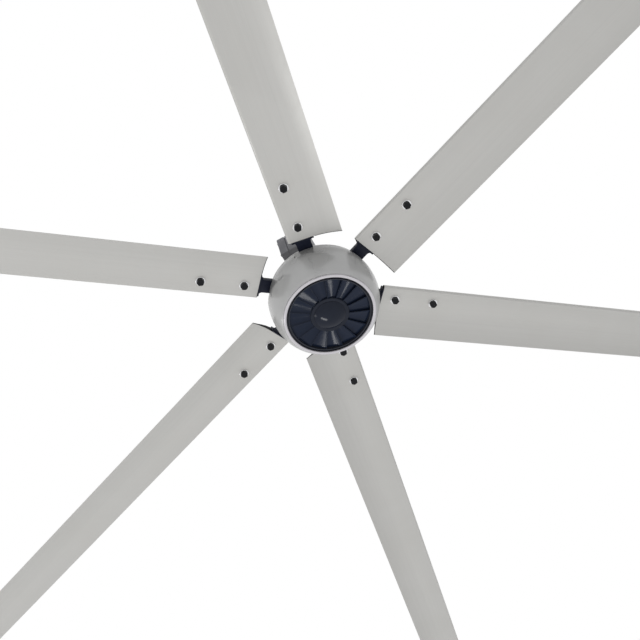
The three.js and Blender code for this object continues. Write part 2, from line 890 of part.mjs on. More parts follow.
for (let k = 0; k < armCount; k += 1) {
  const arm = new THREE.Group();
  arm.rotation.z = (k * 2 * Math.PI) / armCount;
  rotor.add(arm);
  const pitched = new THREE.Group();
  pitched.rotation.x = -strutTilt;
  arm.add(pitched);
  const label = k + 1;
  add(pitched, `strut_${label}`, strut(), materials.black);
  add(pitched, `blade_${label}`, blade(), materials.blade);
  add(pitched, `tip_cap_${label}`, tipCap(), materials.blade);
  const places = { inner: innerBolt, outer: outerBolt };
  for (const [place, radius] of Object.entries(places)) {
    add(pitched, `${place}_washer_${label}`, washer().translate(radius, 0, 0), materials.steel);
    add(pitched, `${place}_bolt_${label}`, bolt().translate(radius, 0, 0), materials.bolt);
  }
}

export default fan;
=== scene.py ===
# %% [markdown]
# A large, slow ceiling fan
#
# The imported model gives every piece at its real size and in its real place, but plain and
# faceted. This notebook keeps that frame untouched and dresses it: smooth blades with an
# aluminium grain, a silver hub with a pocket under each strut, a glossy turbine grille, bolts
# with chamfered heads. Everything is in metres, in the frame of the model. The origin is the top
# face of the plate that bolts under the ceiling beam, and the fan hangs below it.

# %% Load the frame
import json
import math

import bmesh
import bpy
from mathutils import Matrix, Vector, geometry

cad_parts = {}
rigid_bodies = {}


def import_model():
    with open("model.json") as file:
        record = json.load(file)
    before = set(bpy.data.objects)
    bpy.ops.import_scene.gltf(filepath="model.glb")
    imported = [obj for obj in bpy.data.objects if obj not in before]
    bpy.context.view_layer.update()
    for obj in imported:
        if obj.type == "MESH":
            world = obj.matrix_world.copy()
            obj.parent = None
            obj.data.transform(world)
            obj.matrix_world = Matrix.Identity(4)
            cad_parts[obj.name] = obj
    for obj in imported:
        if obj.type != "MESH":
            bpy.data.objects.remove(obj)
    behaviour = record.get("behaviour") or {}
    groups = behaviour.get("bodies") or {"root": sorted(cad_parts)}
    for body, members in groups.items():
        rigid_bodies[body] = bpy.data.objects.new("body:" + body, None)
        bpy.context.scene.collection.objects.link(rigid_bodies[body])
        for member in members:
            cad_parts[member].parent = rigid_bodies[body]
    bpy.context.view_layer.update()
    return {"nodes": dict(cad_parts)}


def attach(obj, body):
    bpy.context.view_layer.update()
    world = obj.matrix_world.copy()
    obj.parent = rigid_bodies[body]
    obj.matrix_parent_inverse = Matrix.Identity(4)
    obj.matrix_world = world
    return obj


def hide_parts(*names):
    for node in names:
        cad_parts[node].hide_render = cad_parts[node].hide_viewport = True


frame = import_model()
nodes = frame["nodes"]

# %% [markdown]
# Sizes that many pieces share
#
# Lengths are written in millimetres, as on a workshop drawing, and multiplied by MM where a
# vertex is made. The hub height is the lower skin of the blades on the bolt line. The rotor
# rests a little turned against the long housing above it, as the photograph shows.

# %% Shared sizes
MM = 0.001
HUB_HEIGHT = -0.8
REST_TURN = math.radians(9.0)
ARM_COUNT = 6
PITCH = math.radians(3.0)
BLADE_ROOT = 175.0
BLADE_END = 1816.5
CAP_END = 1828.8
INNER_BOLT = 215.0
OUTER_BOLT = 331.0

hub_place = Matrix.Translation((0, 0, HUB_HEIGHT))
rotor_place = hub_place @ Matrix.Rotation(REST_TURN, 4, "Z")


def arm_place(number):
    """Where arm number 1 to 6 stands: X runs out along the blade, Z up, pitched about X."""
    turn = Matrix.Rotation((number - 1) * 2 * math.pi / ARM_COUNT, 4, "Z")
    return rotor_place @ turn @ Matrix.Rotation(-PITCH, 4, "X")


print("arms rest at", [round(math.degrees(arm_place(k).to_euler().z), 1) for k in range(1, ARM_COUNT + 1)])

# %% [markdown]
# The camera
#
# The camera stands well below the fan and off to one side, and is rolled so that the blades
# cross the frame. A camera like that is hard to describe with angles, so its three axes are
# written down as vectors: right, up, and back towards the viewer. They came from fitting the
# bolt heads and blade edges to the photograph.

# %% Place the camera


def place_camera():
    data = bpy.data.cameras.new("photo_camera")
    data.sensor_width = 36.0
    data.lens = 43.894
    data.clip_start = 0.05
    data.clip_end = 100.0
    camera = bpy.data.objects.new("photo_camera", data)
    right = Vector((-0.43157, 0.88121, -0.19287))
    up = Vector((0.70252, 0.46246, 0.54094))
    back = Vector((0.56589, 0.09796, -0.81865))
    axes = Matrix((right, up, back)).transposed()
    stand = Vector((1.15441, 0.17028, -2.58258))
    camera.matrix_world = Matrix.Translation(stand) @ axes.to_4x4()
    bpy.context.scene.collection.objects.link(camera)
    bpy.context.scene.camera = camera
    return camera


camera = place_camera()
print("camera stands", round(camera.location.length, 2), "m from the ceiling plate")

# %% [markdown]
# A helper for shader nodes
#
# Each shader node is made, given its settings and wired in one call. What is fed to a socket is
# either another socket, which is linked, or a plain value, which is written on the socket.

# %% Node helper


def add_node(tree, kind, feeds=None, **settings):
    node = tree.nodes.new(kind)
    for name, value in settings.items():
        setattr(node, name, value)
    for socket, value in (feeds or {}).items():
        if isinstance(value, bpy.types.NodeSocket):
            tree.links.new(value, node.inputs[socket])
        else:
            node.inputs[socket].default_value = value
    return node


bpy.context.scene.view_settings.view_transform = "Standard"

# %% [markdown]
# Light
#
# A fan under a ceiling is lit mostly from below, by the floor of the hall and by windows at the
# sides. A dim sky all round stands for the walls, one wide lamp for the bright floor, a tall one
# for a far window, and a weak one above for the ceiling. Camera, glossy and transmission rays
# see the sky as plain white, so the background is white and metal reflects it.

# %% World and lamps
AMBIENT = 0.6


def seen_directly(tree):
    """1 for the rays that show the background: camera, glossy and transmission rays."""
    rays = add_node(tree, "ShaderNodeLightPath")
    seen = add_node(tree, "ShaderNodeMath", {
        0: rays.outputs["Is Camera Ray"], 1: rays.outputs["Is Glossy Ray"],
    }, operation="MAXIMUM")
    return add_node(tree, "ShaderNodeMath", {
        0: seen.outputs[0], 1: rays.outputs["Is Transmission Ray"],
    }, operation="MAXIMUM").outputs[0]


def light_world():
    world = bpy.data.worlds.new("pale_hall")
    bpy.context.scene.world = world
    world.use_nodes = True
    tree = world.node_tree
    tree.nodes.clear()
    dim = add_node(tree, "ShaderNodeBackground", {"Color": (0.97, 0.98, 1, 1), "Strength": AMBIENT})
    white = add_node(tree, "ShaderNodeBackground", {"Color": (1, 1, 1, 1), "Strength": 1.0})
    mix = add_node(tree, "ShaderNodeMixShader", {
        0: seen_directly(tree), 1: dim.outputs[0], 2: white.outputs[0],
    })
    add_node(tree, "ShaderNodeOutputWorld", {"Surface": mix.outputs[0]})


def add_lamp(name, place, aim, size, power, mirrored=True):
    data = bpy.data.lights.new(name, "AREA")
    data.shape = "RECTANGLE"
    data.size, data.size_y = size
    data.energy = power
    lamp = bpy.data.objects.new(name, data)
    lamp.location = place
    lamp.rotation_mode = "QUATERNION"
    lamp.rotation_quaternion = (Vector(aim) - Vector(place)).to_track_quat("-Z", "Y")
    lamp.visible_glossy = mirrored
    bpy.context.scene.collection.objects.link(lamp)
    return lamp


light_world()
middle = (0, 0, HUB_HEIGHT)
add_lamp("floor_glow", place=(-1.0, -1.4, -5.9), aim=(-1.0, -1.4, 0.0), size=(10.0, 10.0), power=286.0,
         mirrored=False)
add_lamp("window_glow", place=(-1.0, -5.8, -3.4), aim=middle, size=(0.8, 4.0), power=40.0)
add_lamp("hall_top", place=(-3.4, -0.6, 4.5), aim=middle, size=(4.0, 4.0), power=45.0, mirrored=False)

# %% [markdown]
# The floor
#
# A plain pale floor lies well below the fan and takes its shadow. Seen from underneath it has to
# be clear, or a camera that looks up from below it would see nothing, so its back is transparent.

# %% Pale floor
FLOOR_LEVEL = -6.2
FLOOR_REACH = 400.0
FLOOR_GLOW_SHARE = 0.55


def lay_floor():
    mesh = bpy.data.meshes.new("pale_floor")
    signs = [(-1, -1), (1, -1), (1, 1), (-1, 1)]
    corners = [(x * FLOOR_REACH, y * FLOOR_REACH, FLOOR_LEVEL) for x, y in signs]
    mesh.from_pydata(corners, [], [(0, 1, 2, 3)])
    floor = bpy.data.objects.new("pale_floor", mesh)
    bpy.context.scene.collection.objects.link(floor)
    material = bpy.data.materials.new("pale_floor")
    material.use_nodes = True
    tree = material.node_tree
    tree.nodes.clear()
    geometry_node = add_node(tree, "ShaderNodeNewGeometry")
    matt = add_node(tree, "ShaderNodeBsdfDiffuse", {"Color": (0.9, 0.9, 0.9, 1)})
    lift = add_node(tree, "ShaderNodeEmission", {"Color": (1, 1, 1, 1), "Strength": seen_directly(tree)})
    pale = add_node(tree, "ShaderNodeMixShader", {
        0: FLOOR_GLOW_SHARE, 1: matt.outputs[0], 2: lift.outputs[0],
    })
    clear = add_node(tree, "ShaderNodeBsdfTransparent")
    mix = add_node(tree, "ShaderNodeMixShader", {
        0: geometry_node.outputs["Backfacing"], 1: pale.outputs[0], 2: clear.outputs[0],
    })
    add_node(tree, "ShaderNodeOutputMaterial", {"Surface": mix.outputs[0]})
    mesh.materials.append(material)
    return floor


lay_floor()
print("floor lies", HUB_HEIGHT - FLOOR_LEVEL, "m below the blades")

# %% [markdown]
# Surface effects as node groups
#
# Several finishes need the same small effects: the fine lines that a die leaves along an
# extrusion, soft smudges of handling, the orange peel of sprayed paint, bright metal along worn
# edges, dust on whatever faces up, painted shade that thickens with height, and painted shade on
# the inside. Each is built once as a group with named inputs, and a material places it with its
# own values.

# %% Effect groups


def new_group(name, inputs, output):
    group = bpy.data.node_groups.new(name, "ShaderNodeTree")
    for label, kind, value in inputs:
        socket = group.interface.new_socket(name=label, in_out="INPUT", socket_type=kind)
        socket.default_value = value
    group.interface.new_socket(name=output, in_out="OUTPUT", socket_type="NodeSocketFloat")
    return group, add_node(group, "NodeGroupInput").outputs, add_node(group, "NodeGroupOutput")


def build_drawn_lines():
    """Noise stretched into lines: the Stretch vector is the number of waves per metre on each axis."""
    inputs = [("Stretch", "NodeSocketVector", (1, 1, 1)), ("Contrast", "NodeSocketFloat", 1.0)]
    group, given, result = new_group("drawn_lines", inputs, "Mask")
    place = add_node(group, "ShaderNodeTexCoord")
    stretched = add_node(group, "ShaderNodeVectorMath", {
        0: place.outputs["Object"], 1: given["Stretch"],
    }, operation="MULTIPLY")
    noise = add_node(group, "ShaderNodeTexNoise", {
        "Vector": stretched.outputs[0], "Scale": 1.0, "Detail": 5.0, "Roughness": 0.62,
    })
    centred = add_node(group, "ShaderNodeMath", {0: noise.outputs[0], 1: 0.5}, operation="SUBTRACT")
    spread = add_node(group, "ShaderNodeMath", {
        0: centred.outputs[0], 1: given["Contrast"], 2: 0.5,
    }, operation="MULTIPLY_ADD", use_clamp=True)
    group.links.new(spread.outputs[0], result.inputs["Mask"])
    return group


def build_soft_smudges():
    """Large, soft, uneven patches between 0 and 1."""
    inputs = [("Scale", "NodeSocketFloat", 6.0), ("Low", "NodeSocketFloat", 0.35),
              ("High", "NodeSocketFloat", 0.7)]
    group, given, result = new_group("soft_smudges", inputs, "Mask")
    place = add_node(group, "ShaderNodeTexCoord")
    warp = add_node(group, "ShaderNodeTexNoise", {
        "Vector": place.outputs["Object"], "Scale": given["Scale"], "Detail": 3.0,
        "Roughness": 0.5, "Distortion": 0.6,
    })
    patch = add_node(group, "ShaderNodeMapRange", {
        "Value": warp.outputs[0], "From Min": given["Low"], "From Max": given["High"],
    }, interpolation_type="SMOOTHSTEP")
    group.links.new(patch.outputs[0], result.inputs["Mask"])
    return group


def build_paint_peel():
    """The fine dimpled height of sprayed or powder coated paint."""
    inputs = [("Scale", "NodeSocketFloat", 900.0), ("Grain", "NodeSocketFloat", 0.5)]
    group, given, result = new_group("paint_peel", inputs, "Height")
    place = add_node(group, "ShaderNodeTexCoord")
    coarse = add_node(group, "ShaderNodeTexNoise", {
        "Vector": place.outputs["Object"], "Scale": given["Scale"], "Detail": 1.0,
    })
    finer_by = 2.7
    finer = add_node(group, "ShaderNodeMath", {0: given["Scale"], 1: finer_by}, operation="MULTIPLY")
    cells = add_node(group, "ShaderNodeTexVoronoi", {
        "Vector": place.outputs["Object"], "Scale": finer.outputs[0],
    }, feature="SMOOTH_F1")
    blend = add_node(group, "ShaderNodeMix", {
        0: given["Grain"], 2: coarse.outputs[0], 3: cells.outputs["Distance"],
    }, data_type="FLOAT")
    group.links.new(blend.outputs[0], result.inputs["Height"])
    return group


def build_edge_wear():
    """Finds corners by comparing the true normal with one that a small bevel would give."""
    inputs = [("Radius", "NodeSocketFloat", 0.001), ("Reach", "NodeSocketFloat", 0.2),
              ("Patchiness", "NodeSocketFloat", 60.0)]
    group, given, result = new_group("edge_wear", inputs, "Mask")
    soft = add_node(group, "ShaderNodeBevel", {"Radius": given["Radius"]}, samples=4)
    true = add_node(group, "ShaderNodeNewGeometry")
    same = add_node(group, "ShaderNodeVectorMath", {
        0: soft.outputs[0], 1: true.outputs["Normal"],
    }, operation="DOT_PRODUCT")
    apart = add_node(group, "ShaderNodeMath", {0: 1.0, 1: same.outputs["Value"]}, operation="SUBTRACT")
    place = add_node(group, "ShaderNodeTexCoord")
    patches = add_node(group, "ShaderNodeTexNoise", {
        "Vector": place.outputs["Object"], "Scale": given["Patchiness"], "Detail": 4.0,
    })
    broken = add_node(group, "ShaderNodeMath", {
        0: apart.outputs[0], 1: patches.outputs[0],
    }, operation="MULTIPLY")
    mask = add_node(group, "ShaderNodeMapRange", {
        "Value": broken.outputs[0], "From Min": 0.01, "From Max": given["Reach"],
    })
    group.links.new(mask.outputs[0], result.inputs["Mask"])
    return group


def build_settled_dust():
    """Dust lies where the surface faces up, thicker in some places than in others."""
    inputs = [("Amount", "NodeSocketFloat", 0.3), ("Scale", "NodeSocketFloat", 14.0)]
    group, given, result = new_group("settled_dust", inputs, "Mask")
    true = add_node(group, "ShaderNodeNewGeometry")
    axes = add_node(group, "ShaderNodeSeparateXYZ", {0: true.outputs["Normal"]})
    level = add_node(group, "ShaderNodeMapRange", {
        "Value": axes.outputs["Z"], "From Min": 0.35, "From Max": 0.95,
    })
    place = add_node(group, "ShaderNodeTexCoord")
    clumps = add_node(group, "ShaderNodeTexNoise", {
        "Vector": place.outputs["Object"], "Scale": given["Scale"], "Detail": 6.0,
    })
    lying = add_node(group, "ShaderNodeMath", {
        0: level.outputs[0], 1: clumps.outputs[0],
    }, operation="MULTIPLY")
    mask = add_node(group, "ShaderNodeMath", {
        0: lying.outputs[0], 1: given["Amount"],
    }, operation="MULTIPLY", use_clamp=True)
    group.links.new(mask.outputs[0], result.inputs["Mask"])
    return group


def build_painted_shade_above():
    """Painted shade that thickens, a little unevenly, from one height up to another."""
    inputs = [("Low", "NodeSocketFloat", -0.07), ("High", "NodeSocketFloat", -0.01),
              ("Amount", "NodeSocketFloat", 0.5)]
    cloud_scale, unevenness = 22.0, 0.03
    group, given, result = new_group("painted_shade_above", inputs, "Mask")
    place = add_node(group, "ShaderNodeTexCoord")
    axes = add_node(group, "ShaderNodeSeparateXYZ", {0: place.outputs["Object"]})
    clouds = add_node(group, "ShaderNodeTexNoise", {
        "Vector": place.outputs["Object"], "Scale": cloud_scale, "Detail": 4.0,
    })
    shifted = add_node(group, "ShaderNodeMath", {
        0: clouds.outputs[0], 1: unevenness, 2: axes.outputs["Z"],
    }, operation="MULTIPLY_ADD")
    level = add_node(group, "ShaderNodeMapRange", {
        "Value": shifted.outputs[0], "From Min": given["Low"], "From Max": given["High"],
    }, interpolation_type="SMOOTHSTEP")
    mask = add_node(group, "ShaderNodeMath", {0: level.outputs[0], 1: given["Amount"]}, operation="MULTIPLY")
    group.links.new(mask.outputs[0], result.inputs["Mask"])
    return group


def build_painted_inner_shade():
    """1 where shade is painted inside the hub: inside faces, and all within a radius of Z."""
    inputs = [("Within", "NodeSocketFloat", 0.0)]
    inward = -0.7
    group, given, result = new_group("painted_inner_shade", inputs, "Mask")
    place = add_node(group, "ShaderNodeTexCoord")
    across = add_node(group, "ShaderNodeVectorMath", {
        0: place.outputs["Object"], 1: (1, 1, 0),
    }, operation="MULTIPLY")
    distance = add_node(group, "ShaderNodeVectorMath", {0: across.outputs[0]}, operation="LENGTH")
    close = add_node(group, "ShaderNodeMath", {
        0: distance.outputs["Value"], 1: given["Within"],
    }, operation="LESS_THAN")
    outward = add_node(group, "ShaderNodeVectorMath", {0: across.outputs[0]}, operation="NORMALIZE")
    facing = add_node(group, "ShaderNodeVectorMath", {
        0: outward.outputs[0], 1: place.outputs["Normal"],
    }, operation="DOT_PRODUCT")
    inner = add_node(group, "ShaderNodeMath", {
        0: facing.outputs["Value"], 1: inward,
    }, operation="LESS_THAN")
    either = add_node(group, "ShaderNodeMath", {
        0: close.outputs[0], 1: inner.outputs[0],
    }, operation="MAXIMUM")
    group.links.new(either.outputs[0], result.inputs["Mask"])
    return group


effects = {
    "lines": build_drawn_lines(),
    "smudges": build_soft_smudges(),
    "peel": build_paint_peel(),
    "wear": build_edge_wear(),
    "dust": build_settled_dust(),
    "painted_shade": build_painted_shade_above(),
    "painted_inner_shade": build_painted_inner_shade(),
}
print("effect groups:", [group.name for group in effects.values()])

# %% [markdown]
# Materials
#
# Each finish starts from a base colour and lays the effects over it in order, as a painter
# would: a slow change of tone, worn edges, then dust. Roughness follows the smudges, and a
# bump carries the grain. The Principled shader stays in the material. Numbers that are the same
# all over are written on its own sockets.

# %% Material helpers


def use_effect(tree, effect, **values):
    node = add_node(tree, "ShaderNodeGroup", node_tree=effects[effect])
    for label, value in values.items():
        node.inputs[label.capitalize()].default_value = value
    return node.outputs[0]


def tone(tree, share, below, above):
    """One colour over another: each is a colour or a socket, the share is a socket."""
    feeds = {0: share, 6: below, 7: above}
    return add_node(tree, "ShaderNodeMix", feeds, data_type="RGBA").outputs[2]


def scaled(tree, share, low, high):
    feeds = {"Value": share, "To Min": low, "To Max": high}
    return add_node(tree, "ShaderNodeMapRange", feeds).outputs[0]


def new_finish(name, metallic, **plain):
    material = bpy.data.materials.new(name)
    material.use_nodes = True
    tree = material.node_tree
    shader = tree.nodes["Principled BSDF"]
    shader.inputs["Metallic"].default_value = metallic
    for label, value in plain.items():
        shader.inputs[label.replace("_", " ")].default_value = value
    return material, tree, shader


def dress(tree, shader, colour, roughness, height, strength, distance):
    """Wires what varies over the surface into the shader."""
    tree.links.new(colour, shader.inputs["Base Color"])
    tree.links.new(roughness, shader.inputs["Roughness"])
    bump = add_node(tree, "ShaderNodeBump", {
        "Height": height, "Strength": strength, "Distance": distance,
    })
    tree.links.new(bump.outputs[0], shader.inputs["Normal"])


DUST = (0.42, 0.40, 0.37, 1)

# %% [markdown]
# Blade aluminium
#
# The blades are extruded and then given a thin satin coat in a warm light grey. The die leaves
# faint lines along the whole length. In the arm's own coordinates X runs along the blade, so
# noise with one wave a metre in X and hundreds across gives those lines.

# %% Blade aluminium


def make_blade_aluminium():
    material, tree, shader = new_finish("blade_aluminium", 0.3, Coat_Weight=0.08, Coat_Roughness=0.3)
    lines = use_effect(tree, "lines", stretch=(0.9, 420.0, 420.0), contrast=1.3)
    broad = use_effect(tree, "lines", stretch=(0.5, 26.0, 26.0), contrast=1.6)
    smudge = use_effect(tree, "smudges", scale=5.0, low=0.38, high=0.75)
    colour = tone(tree, lines, (0.575, 0.568, 0.545, 1), (0.645, 0.638, 0.612, 1))
    soft = scaled(tree, broad, 0.0, 0.35)
    colour = tone(tree, soft, colour, (0.53, 0.525, 0.51, 1))
    stain = scaled(tree, smudge, 0.0, 0.25)
    colour = tone(tree, stain, colour, (0.54, 0.53, 0.50, 1))
    dust = use_effect(tree, "dust", amount=0.8, scale=9.0)
    colour = tone(tree, dust, colour, DUST)
    rough = scaled(tree, smudge, 0.34, 0.46)
    dress(tree, shader, colour, rough, lines, strength=0.12, distance=0.0002)
    return material


blade_aluminium = make_blade_aluminium()

# %% [markdown]
# Silver paint of the hub
#
# The cowl and the casting are sprayed silver. The paint is a fine metallic flake, so it is part
# metal, smooth enough to mirror blades and bolt heads a little blurred, and a shade darker than
# they are. Handling and cleaning leave cloudy marks. Painted shade darkens the paint towards the
# struts, the inside is painted dark as shade, and the casting is painted a darker silver than the
# cowl as shade under the struts.

# %% Silver paint


def make_silver(name, light, dark, rough_low, rough_high, within):
    material, tree, shader = new_finish(name, 0.2, Specular_IOR_Level=0.25)
    cloud = use_effect(tree, "smudges", scale=9.0, low=0.36, high=0.72)
    flake = use_effect(tree, "peel", scale=1500.0, grain=0.7)
    colour = tone(tree, cloud, light, dark)
    # Painted shade: the paint darkens towards the top, where the hub lies under the struts.
    painted_shade = use_effect(tree, "painted_shade", low=-0.055, high=0.005, amount=0.72)
    colour = tone(tree, painted_shade, colour, (0.3, 0.295, 0.285, 1))
    glint = scaled(tree, flake, 0.0, 0.16)
    colour = tone(tree, glint, colour, (0.8, 0.8, 0.8, 1))
    wear = use_effect(tree, "wear", radius=0.0012, reach=0.16, patchiness=70.0)
    colour = tone(tree, wear, colour, (0.66, 0.66, 0.65, 1))
    dust = use_effect(tree, "dust", amount=1.1, scale=16.0)
    colour = tone(tree, dust, colour, DUST)
    # Painted shade: inside faces, and all within the given radius of the axis, are painted dark as the shade
    # inside the hub.
    painted_inner_shade = use_effect(tree, "painted_inner_shade", within=within)
    colour = tone(tree, painted_inner_shade, colour, (0.02, 0.024, 0.032, 1))
    rough = scaled(tree, cloud, rough_low, rough_high)
    peel = use_effect(tree, "peel", scale=420.0, grain=0.2)
    dress(tree, shader, colour, rough, peel, strength=0.05, distance=0.0002)
    return material


cowl_silver = make_silver(
    "cowl_silver", light=(0.55, 0.55, 0.545, 1), dark=(0.49, 0.49, 0.485, 1), rough_low=0.21,
    rough_high=0.3, within=0.0,
)
# The casting is painted a darker silver than the cowl: painted shade for the drum under the struts. The lid
# below takes the same tone.
hub_silver = make_silver(
    "hub_silver", light=(0.42, 0.42, 0.415, 1), dark=(0.36, 0.36, 0.355, 1), rough_low=0.24,
    rough_high=0.36, within=0.13,
)
lid_silver = make_silver(
    "lid_silver", light=(0.42, 0.42, 0.415, 1), dark=(0.36, 0.36, 0.355, 1), rough_low=0.3,
    rough_high=0.42, within=0.0,
)

# %% [markdown]
# Turned and plated metal
#
# The trim ring is satin metal with fine turning lines. Washers are zinc plated and bright, bolts
# are blackened steel that rubs bright on its corners, the axle is turned steel.

# %% Metals


def make_metal(name, light, dark, metallic, rough_low, rough_high, edge, stretch, **plain):
    material, tree, shader = new_finish(name, metallic, **plain)
    lines = use_effect(tree, "lines", stretch=stretch, contrast=1.4)
    cloud = use_effect(tree, "smudges", scale=40.0, low=0.4, high=0.7)
    colour = tone(tree, lines, dark, light)
    stain = scaled(tree, cloud, 0.0, 0.4)
    colour = tone(tree, stain, colour, dark)
    wear = use_effect(tree, "wear", radius=0.0006, reach=0.12, patchiness=150.0)
    colour = tone(tree, wear, colour, edge)
    dust = use_effect(tree, "dust", amount=0.8, scale=25.0)
    colour = tone(tree, dust, colour, DUST)
    rough = scaled(tree, cloud, rough_low, rough_high)
    dress(tree, shader, colour, rough, lines, strength=0.08, distance=0.0001)
    return material


trim_satin = make_metal(
    "trim_satin", light=(0.74, 0.72, 0.75, 1), dark=(0.62, 0.60, 0.63, 1), metallic=0.45,
    rough_low=0.28, rough_high=0.4, edge=(0.85, 0.84, 0.86, 1), stretch=(60.0, 60.0, 1800.0),
)
washer_zinc = make_metal(
    "washer_zinc", light=(0.97, 0.97, 0.98, 1), dark=(0.86, 0.86, 0.88, 1), metallic=1.0,
    rough_low=0.12, rough_high=0.22, edge=(0.98, 0.98, 0.98, 1), stretch=(300.0, 300.0, 900.0),
)
bolt_black = make_metal(
    "bolt_black", light=(0.009, 0.0095, 0.011, 1), dark=(0.005, 0.0055, 0.007, 1), metallic=0.0,
    rough_low=0.4, rough_high=0.55, edge=(0.05, 0.05, 0.055, 1), stretch=(500.0, 500.0, 500.0),
    Specular_IOR_Level=0.2,
)
axle_steel = make_metal(
    "axle_steel", light=(0.6, 0.6, 0.62, 1), dark=(0.42, 0.42, 0.44, 1), metallic=0.9, rough_low=0.26,
    rough_high=0.42, edge=(0.72, 0.72, 0.73, 1), stretch=(40.0, 40.0, 1500.0),
)
bearing_steel = make_metal(
    "bearing_steel", light=(0.66, 0.66, 0.68, 1), dark=(0.5, 0.5, 0.52, 1), metallic=0.95,
    rough_low=0.18, rough_high=0.3, edge=(0.8, 0.8, 0.8, 1), stretch=(40.0, 40.0, 1500.0),
)
stator_iron = make_metal(
    "stator_iron", light=(0.36, 0.36, 0.38, 1), dark=(0.24, 0.24, 0.26, 1), metallic=0.8, rough_low=0.4,
    rough_high=0.6, edge=(0.5, 0.5, 0.5, 1), stretch=(30.0, 30.0, 2000.0),
)
winding_copper = make_metal(
    "winding_copper", light=(0.72, 0.36, 0.2, 1), dark=(0.42, 0.18, 0.09, 1), metallic=0.85,
    rough_low=0.25, rough_high=0.45, edge=(0.85, 0.5, 0.3, 1), stretch=(500.0, 500.0, 1200.0),
)
magnet_plate = make_metal(
    "magnet_plate", light=(0.3, 0.3, 0.32, 1), dark=(0.2, 0.2, 0.22, 1), metallic=0.85, rough_low=0.3,
    rough_high=0.45, edge=(0.5, 0.5, 0.5, 1), stretch=(200.0, 200.0, 200.0),
)

# %% [markdown]
# Black and grey paints
#
# The struts have a semi-gloss black coat with a blue cast, which chips to a duller grey on its
# corners. The housing and the tube above are powder coated: a coarser peel, more matt. The
# rubber plug that closes the blade's root is dull black.

# %% Paints


def make_paint(name, light, dark, rough_low, rough_high, edge, peel_scale, peel_depth, **plain):
    material, tree, shader = new_finish(name, 0.0, **plain)
    cloud = use_effect(tree, "smudges", scale=14.0, low=0.35, high=0.7)
    peel = use_effect(tree, "peel", scale=peel_scale, grain=0.5)
    colour = tone(tree, cloud, light, dark)
    speck = scaled(tree, peel, 0.0, 0.3)
    colour = tone(tree, speck, colour, dark)
    wear = use_effect(tree, "wear", radius=0.0008, reach=0.1, patchiness=90.0)
    colour = tone(tree, wear, colour, edge)
    dust = use_effect(tree, "dust", amount=0.9, scale=20.0)
    colour = tone(tree, dust, colour, DUST)
    rough = scaled(tree, cloud, rough_low, rough_high)
    dress(tree, shader, colour, rough, peel, strength=peel_depth, distance=0.0003)
    return material


strut_black = make_paint(
    "strut_black", light=(0.011, 0.014, 0.028, 1), dark=(0.007, 0.009, 0.019, 1), rough_low=0.34,
    rough_high=0.5, edge=(0.06, 0.06, 0.07, 1), peel_scale=700.0, peel_depth=0.1,
    Specular_IOR_Level=0.2,
)
housing_grey = make_paint(
    "housing_grey", light=(0.24, 0.24, 0.26, 1), dark=(0.19, 0.19, 0.205, 1), rough_low=0.5,
    rough_high=0.62, edge=(0.33, 0.33, 0.34, 1), peel_scale=1100.0, peel_depth=0.25,
)
hanger_grey = make_paint(
    "hanger_grey", light=(0.3, 0.3, 0.31, 1), dark=(0.24, 0.24, 0.25, 1), rough_low=0.48,
    rough_high=0.6, edge=(0.42, 0.42, 0.42, 1), peel_scale=1100.0, peel_depth=0.25,
)
plug_rubber = make_paint(
    "plug_rubber", light=(0.012, 0.012, 0.014, 1), dark=(0.007, 0.007, 0.008, 1), rough_low=0.6,
    rough_high=0.75, edge=(0.02, 0.02, 0.02, 1), peel_scale=1600.0, peel_depth=0.3,
    Specular_IOR_Level=0.2,
)
cap_plastic = make_paint(
    "cap_plastic", light=(0.6, 0.595, 0.575, 1), dark=(0.54, 0.535, 0.515, 1), rough_low=0.4,
    rough_high=0.5, edge=(0.66, 0.655, 0.64, 1), peel_scale=1500.0, peel_depth=0.15, Coat_Weight=0.1,
)

# %% [markdown]
# Moulded plastic of the grille
#
# The grille and the dome are moulded in blue-black plastic. The vanes are polished and mirror
# the bright hall in streaks. The rim of the dome is duller than its middle, and the outer ring
# is a shade lighter than the rest.

# %% Moulded plastic


def make_moulded(name, light, dark, rough_low, rough_high, specular):
    material, tree, shader = new_finish(name, 0.0, Specular_IOR_Level=specular)
    cloud = use_effect(tree, "smudges", scale=26.0, low=0.35, high=0.75)
    flow = use_effect(tree, "lines", stretch=(18.0, 18.0, 120.0), contrast=1.2)
    colour = tone(tree, cloud, light, dark)
    streak = scaled(tree, flow, 0.0, 0.4)
    colour = tone(tree, streak, colour, dark)
    wear = use_effect(tree, "wear", radius=0.0006, reach=0.2, patchiness=120.0)
    colour = tone(tree, wear, colour, (0.1, 0.105, 0.12, 1))
    rough = scaled(tree, cloud, rough_low, rough_high)
    dress(tree, shader, colour, rough, flow, strength=0.06, distance=0.0004)
    return material


grille_plastic = make_moulded(
    "grille_plastic", light=(0.010, 0.015, 0.030, 1), dark=(0.007, 0.011, 0.023, 1), rough_low=0.14,
    rough_high=0.22, specular=0.15,
)
dome_gloss = make_moulded(
    "dome_gloss", light=(0.015, 0.019, 0.031, 1), dark=(0.011, 0.014, 0.024, 1), rough_low=0.1,
    rough_high=0.16, specular=0.15,
)
dome_matt = make_moulded(
    "dome_matt", light=(0.022, 0.026, 0.038, 1), dark=(0.017, 0.020, 0.030, 1), rough_low=0.4,
    rough_high=0.52, specular=0.15,
)
ring_satin = make_moulded(
    "ring_satin", light=(0.040, 0.043, 0.055, 1), dark=(0.032, 0.035, 0.045, 1), rough_low=0.35,
    rough_high=0.5, specular=0.2,
)
print("materials:", len(bpy.data.materials))

# %% [markdown]
# Turning point lists into pieces
#
# Every piece below ends the same way. Its faces get smooth shading with creases at true corners,
# it gets a material, it is put in place, it rides on the body that carries it, and it may stand
# for the plain node of the frame. Mesh data can be shared: all six blades are one mesh, placed
# six times. A corner sharper than CREASE degrees stays a crease.

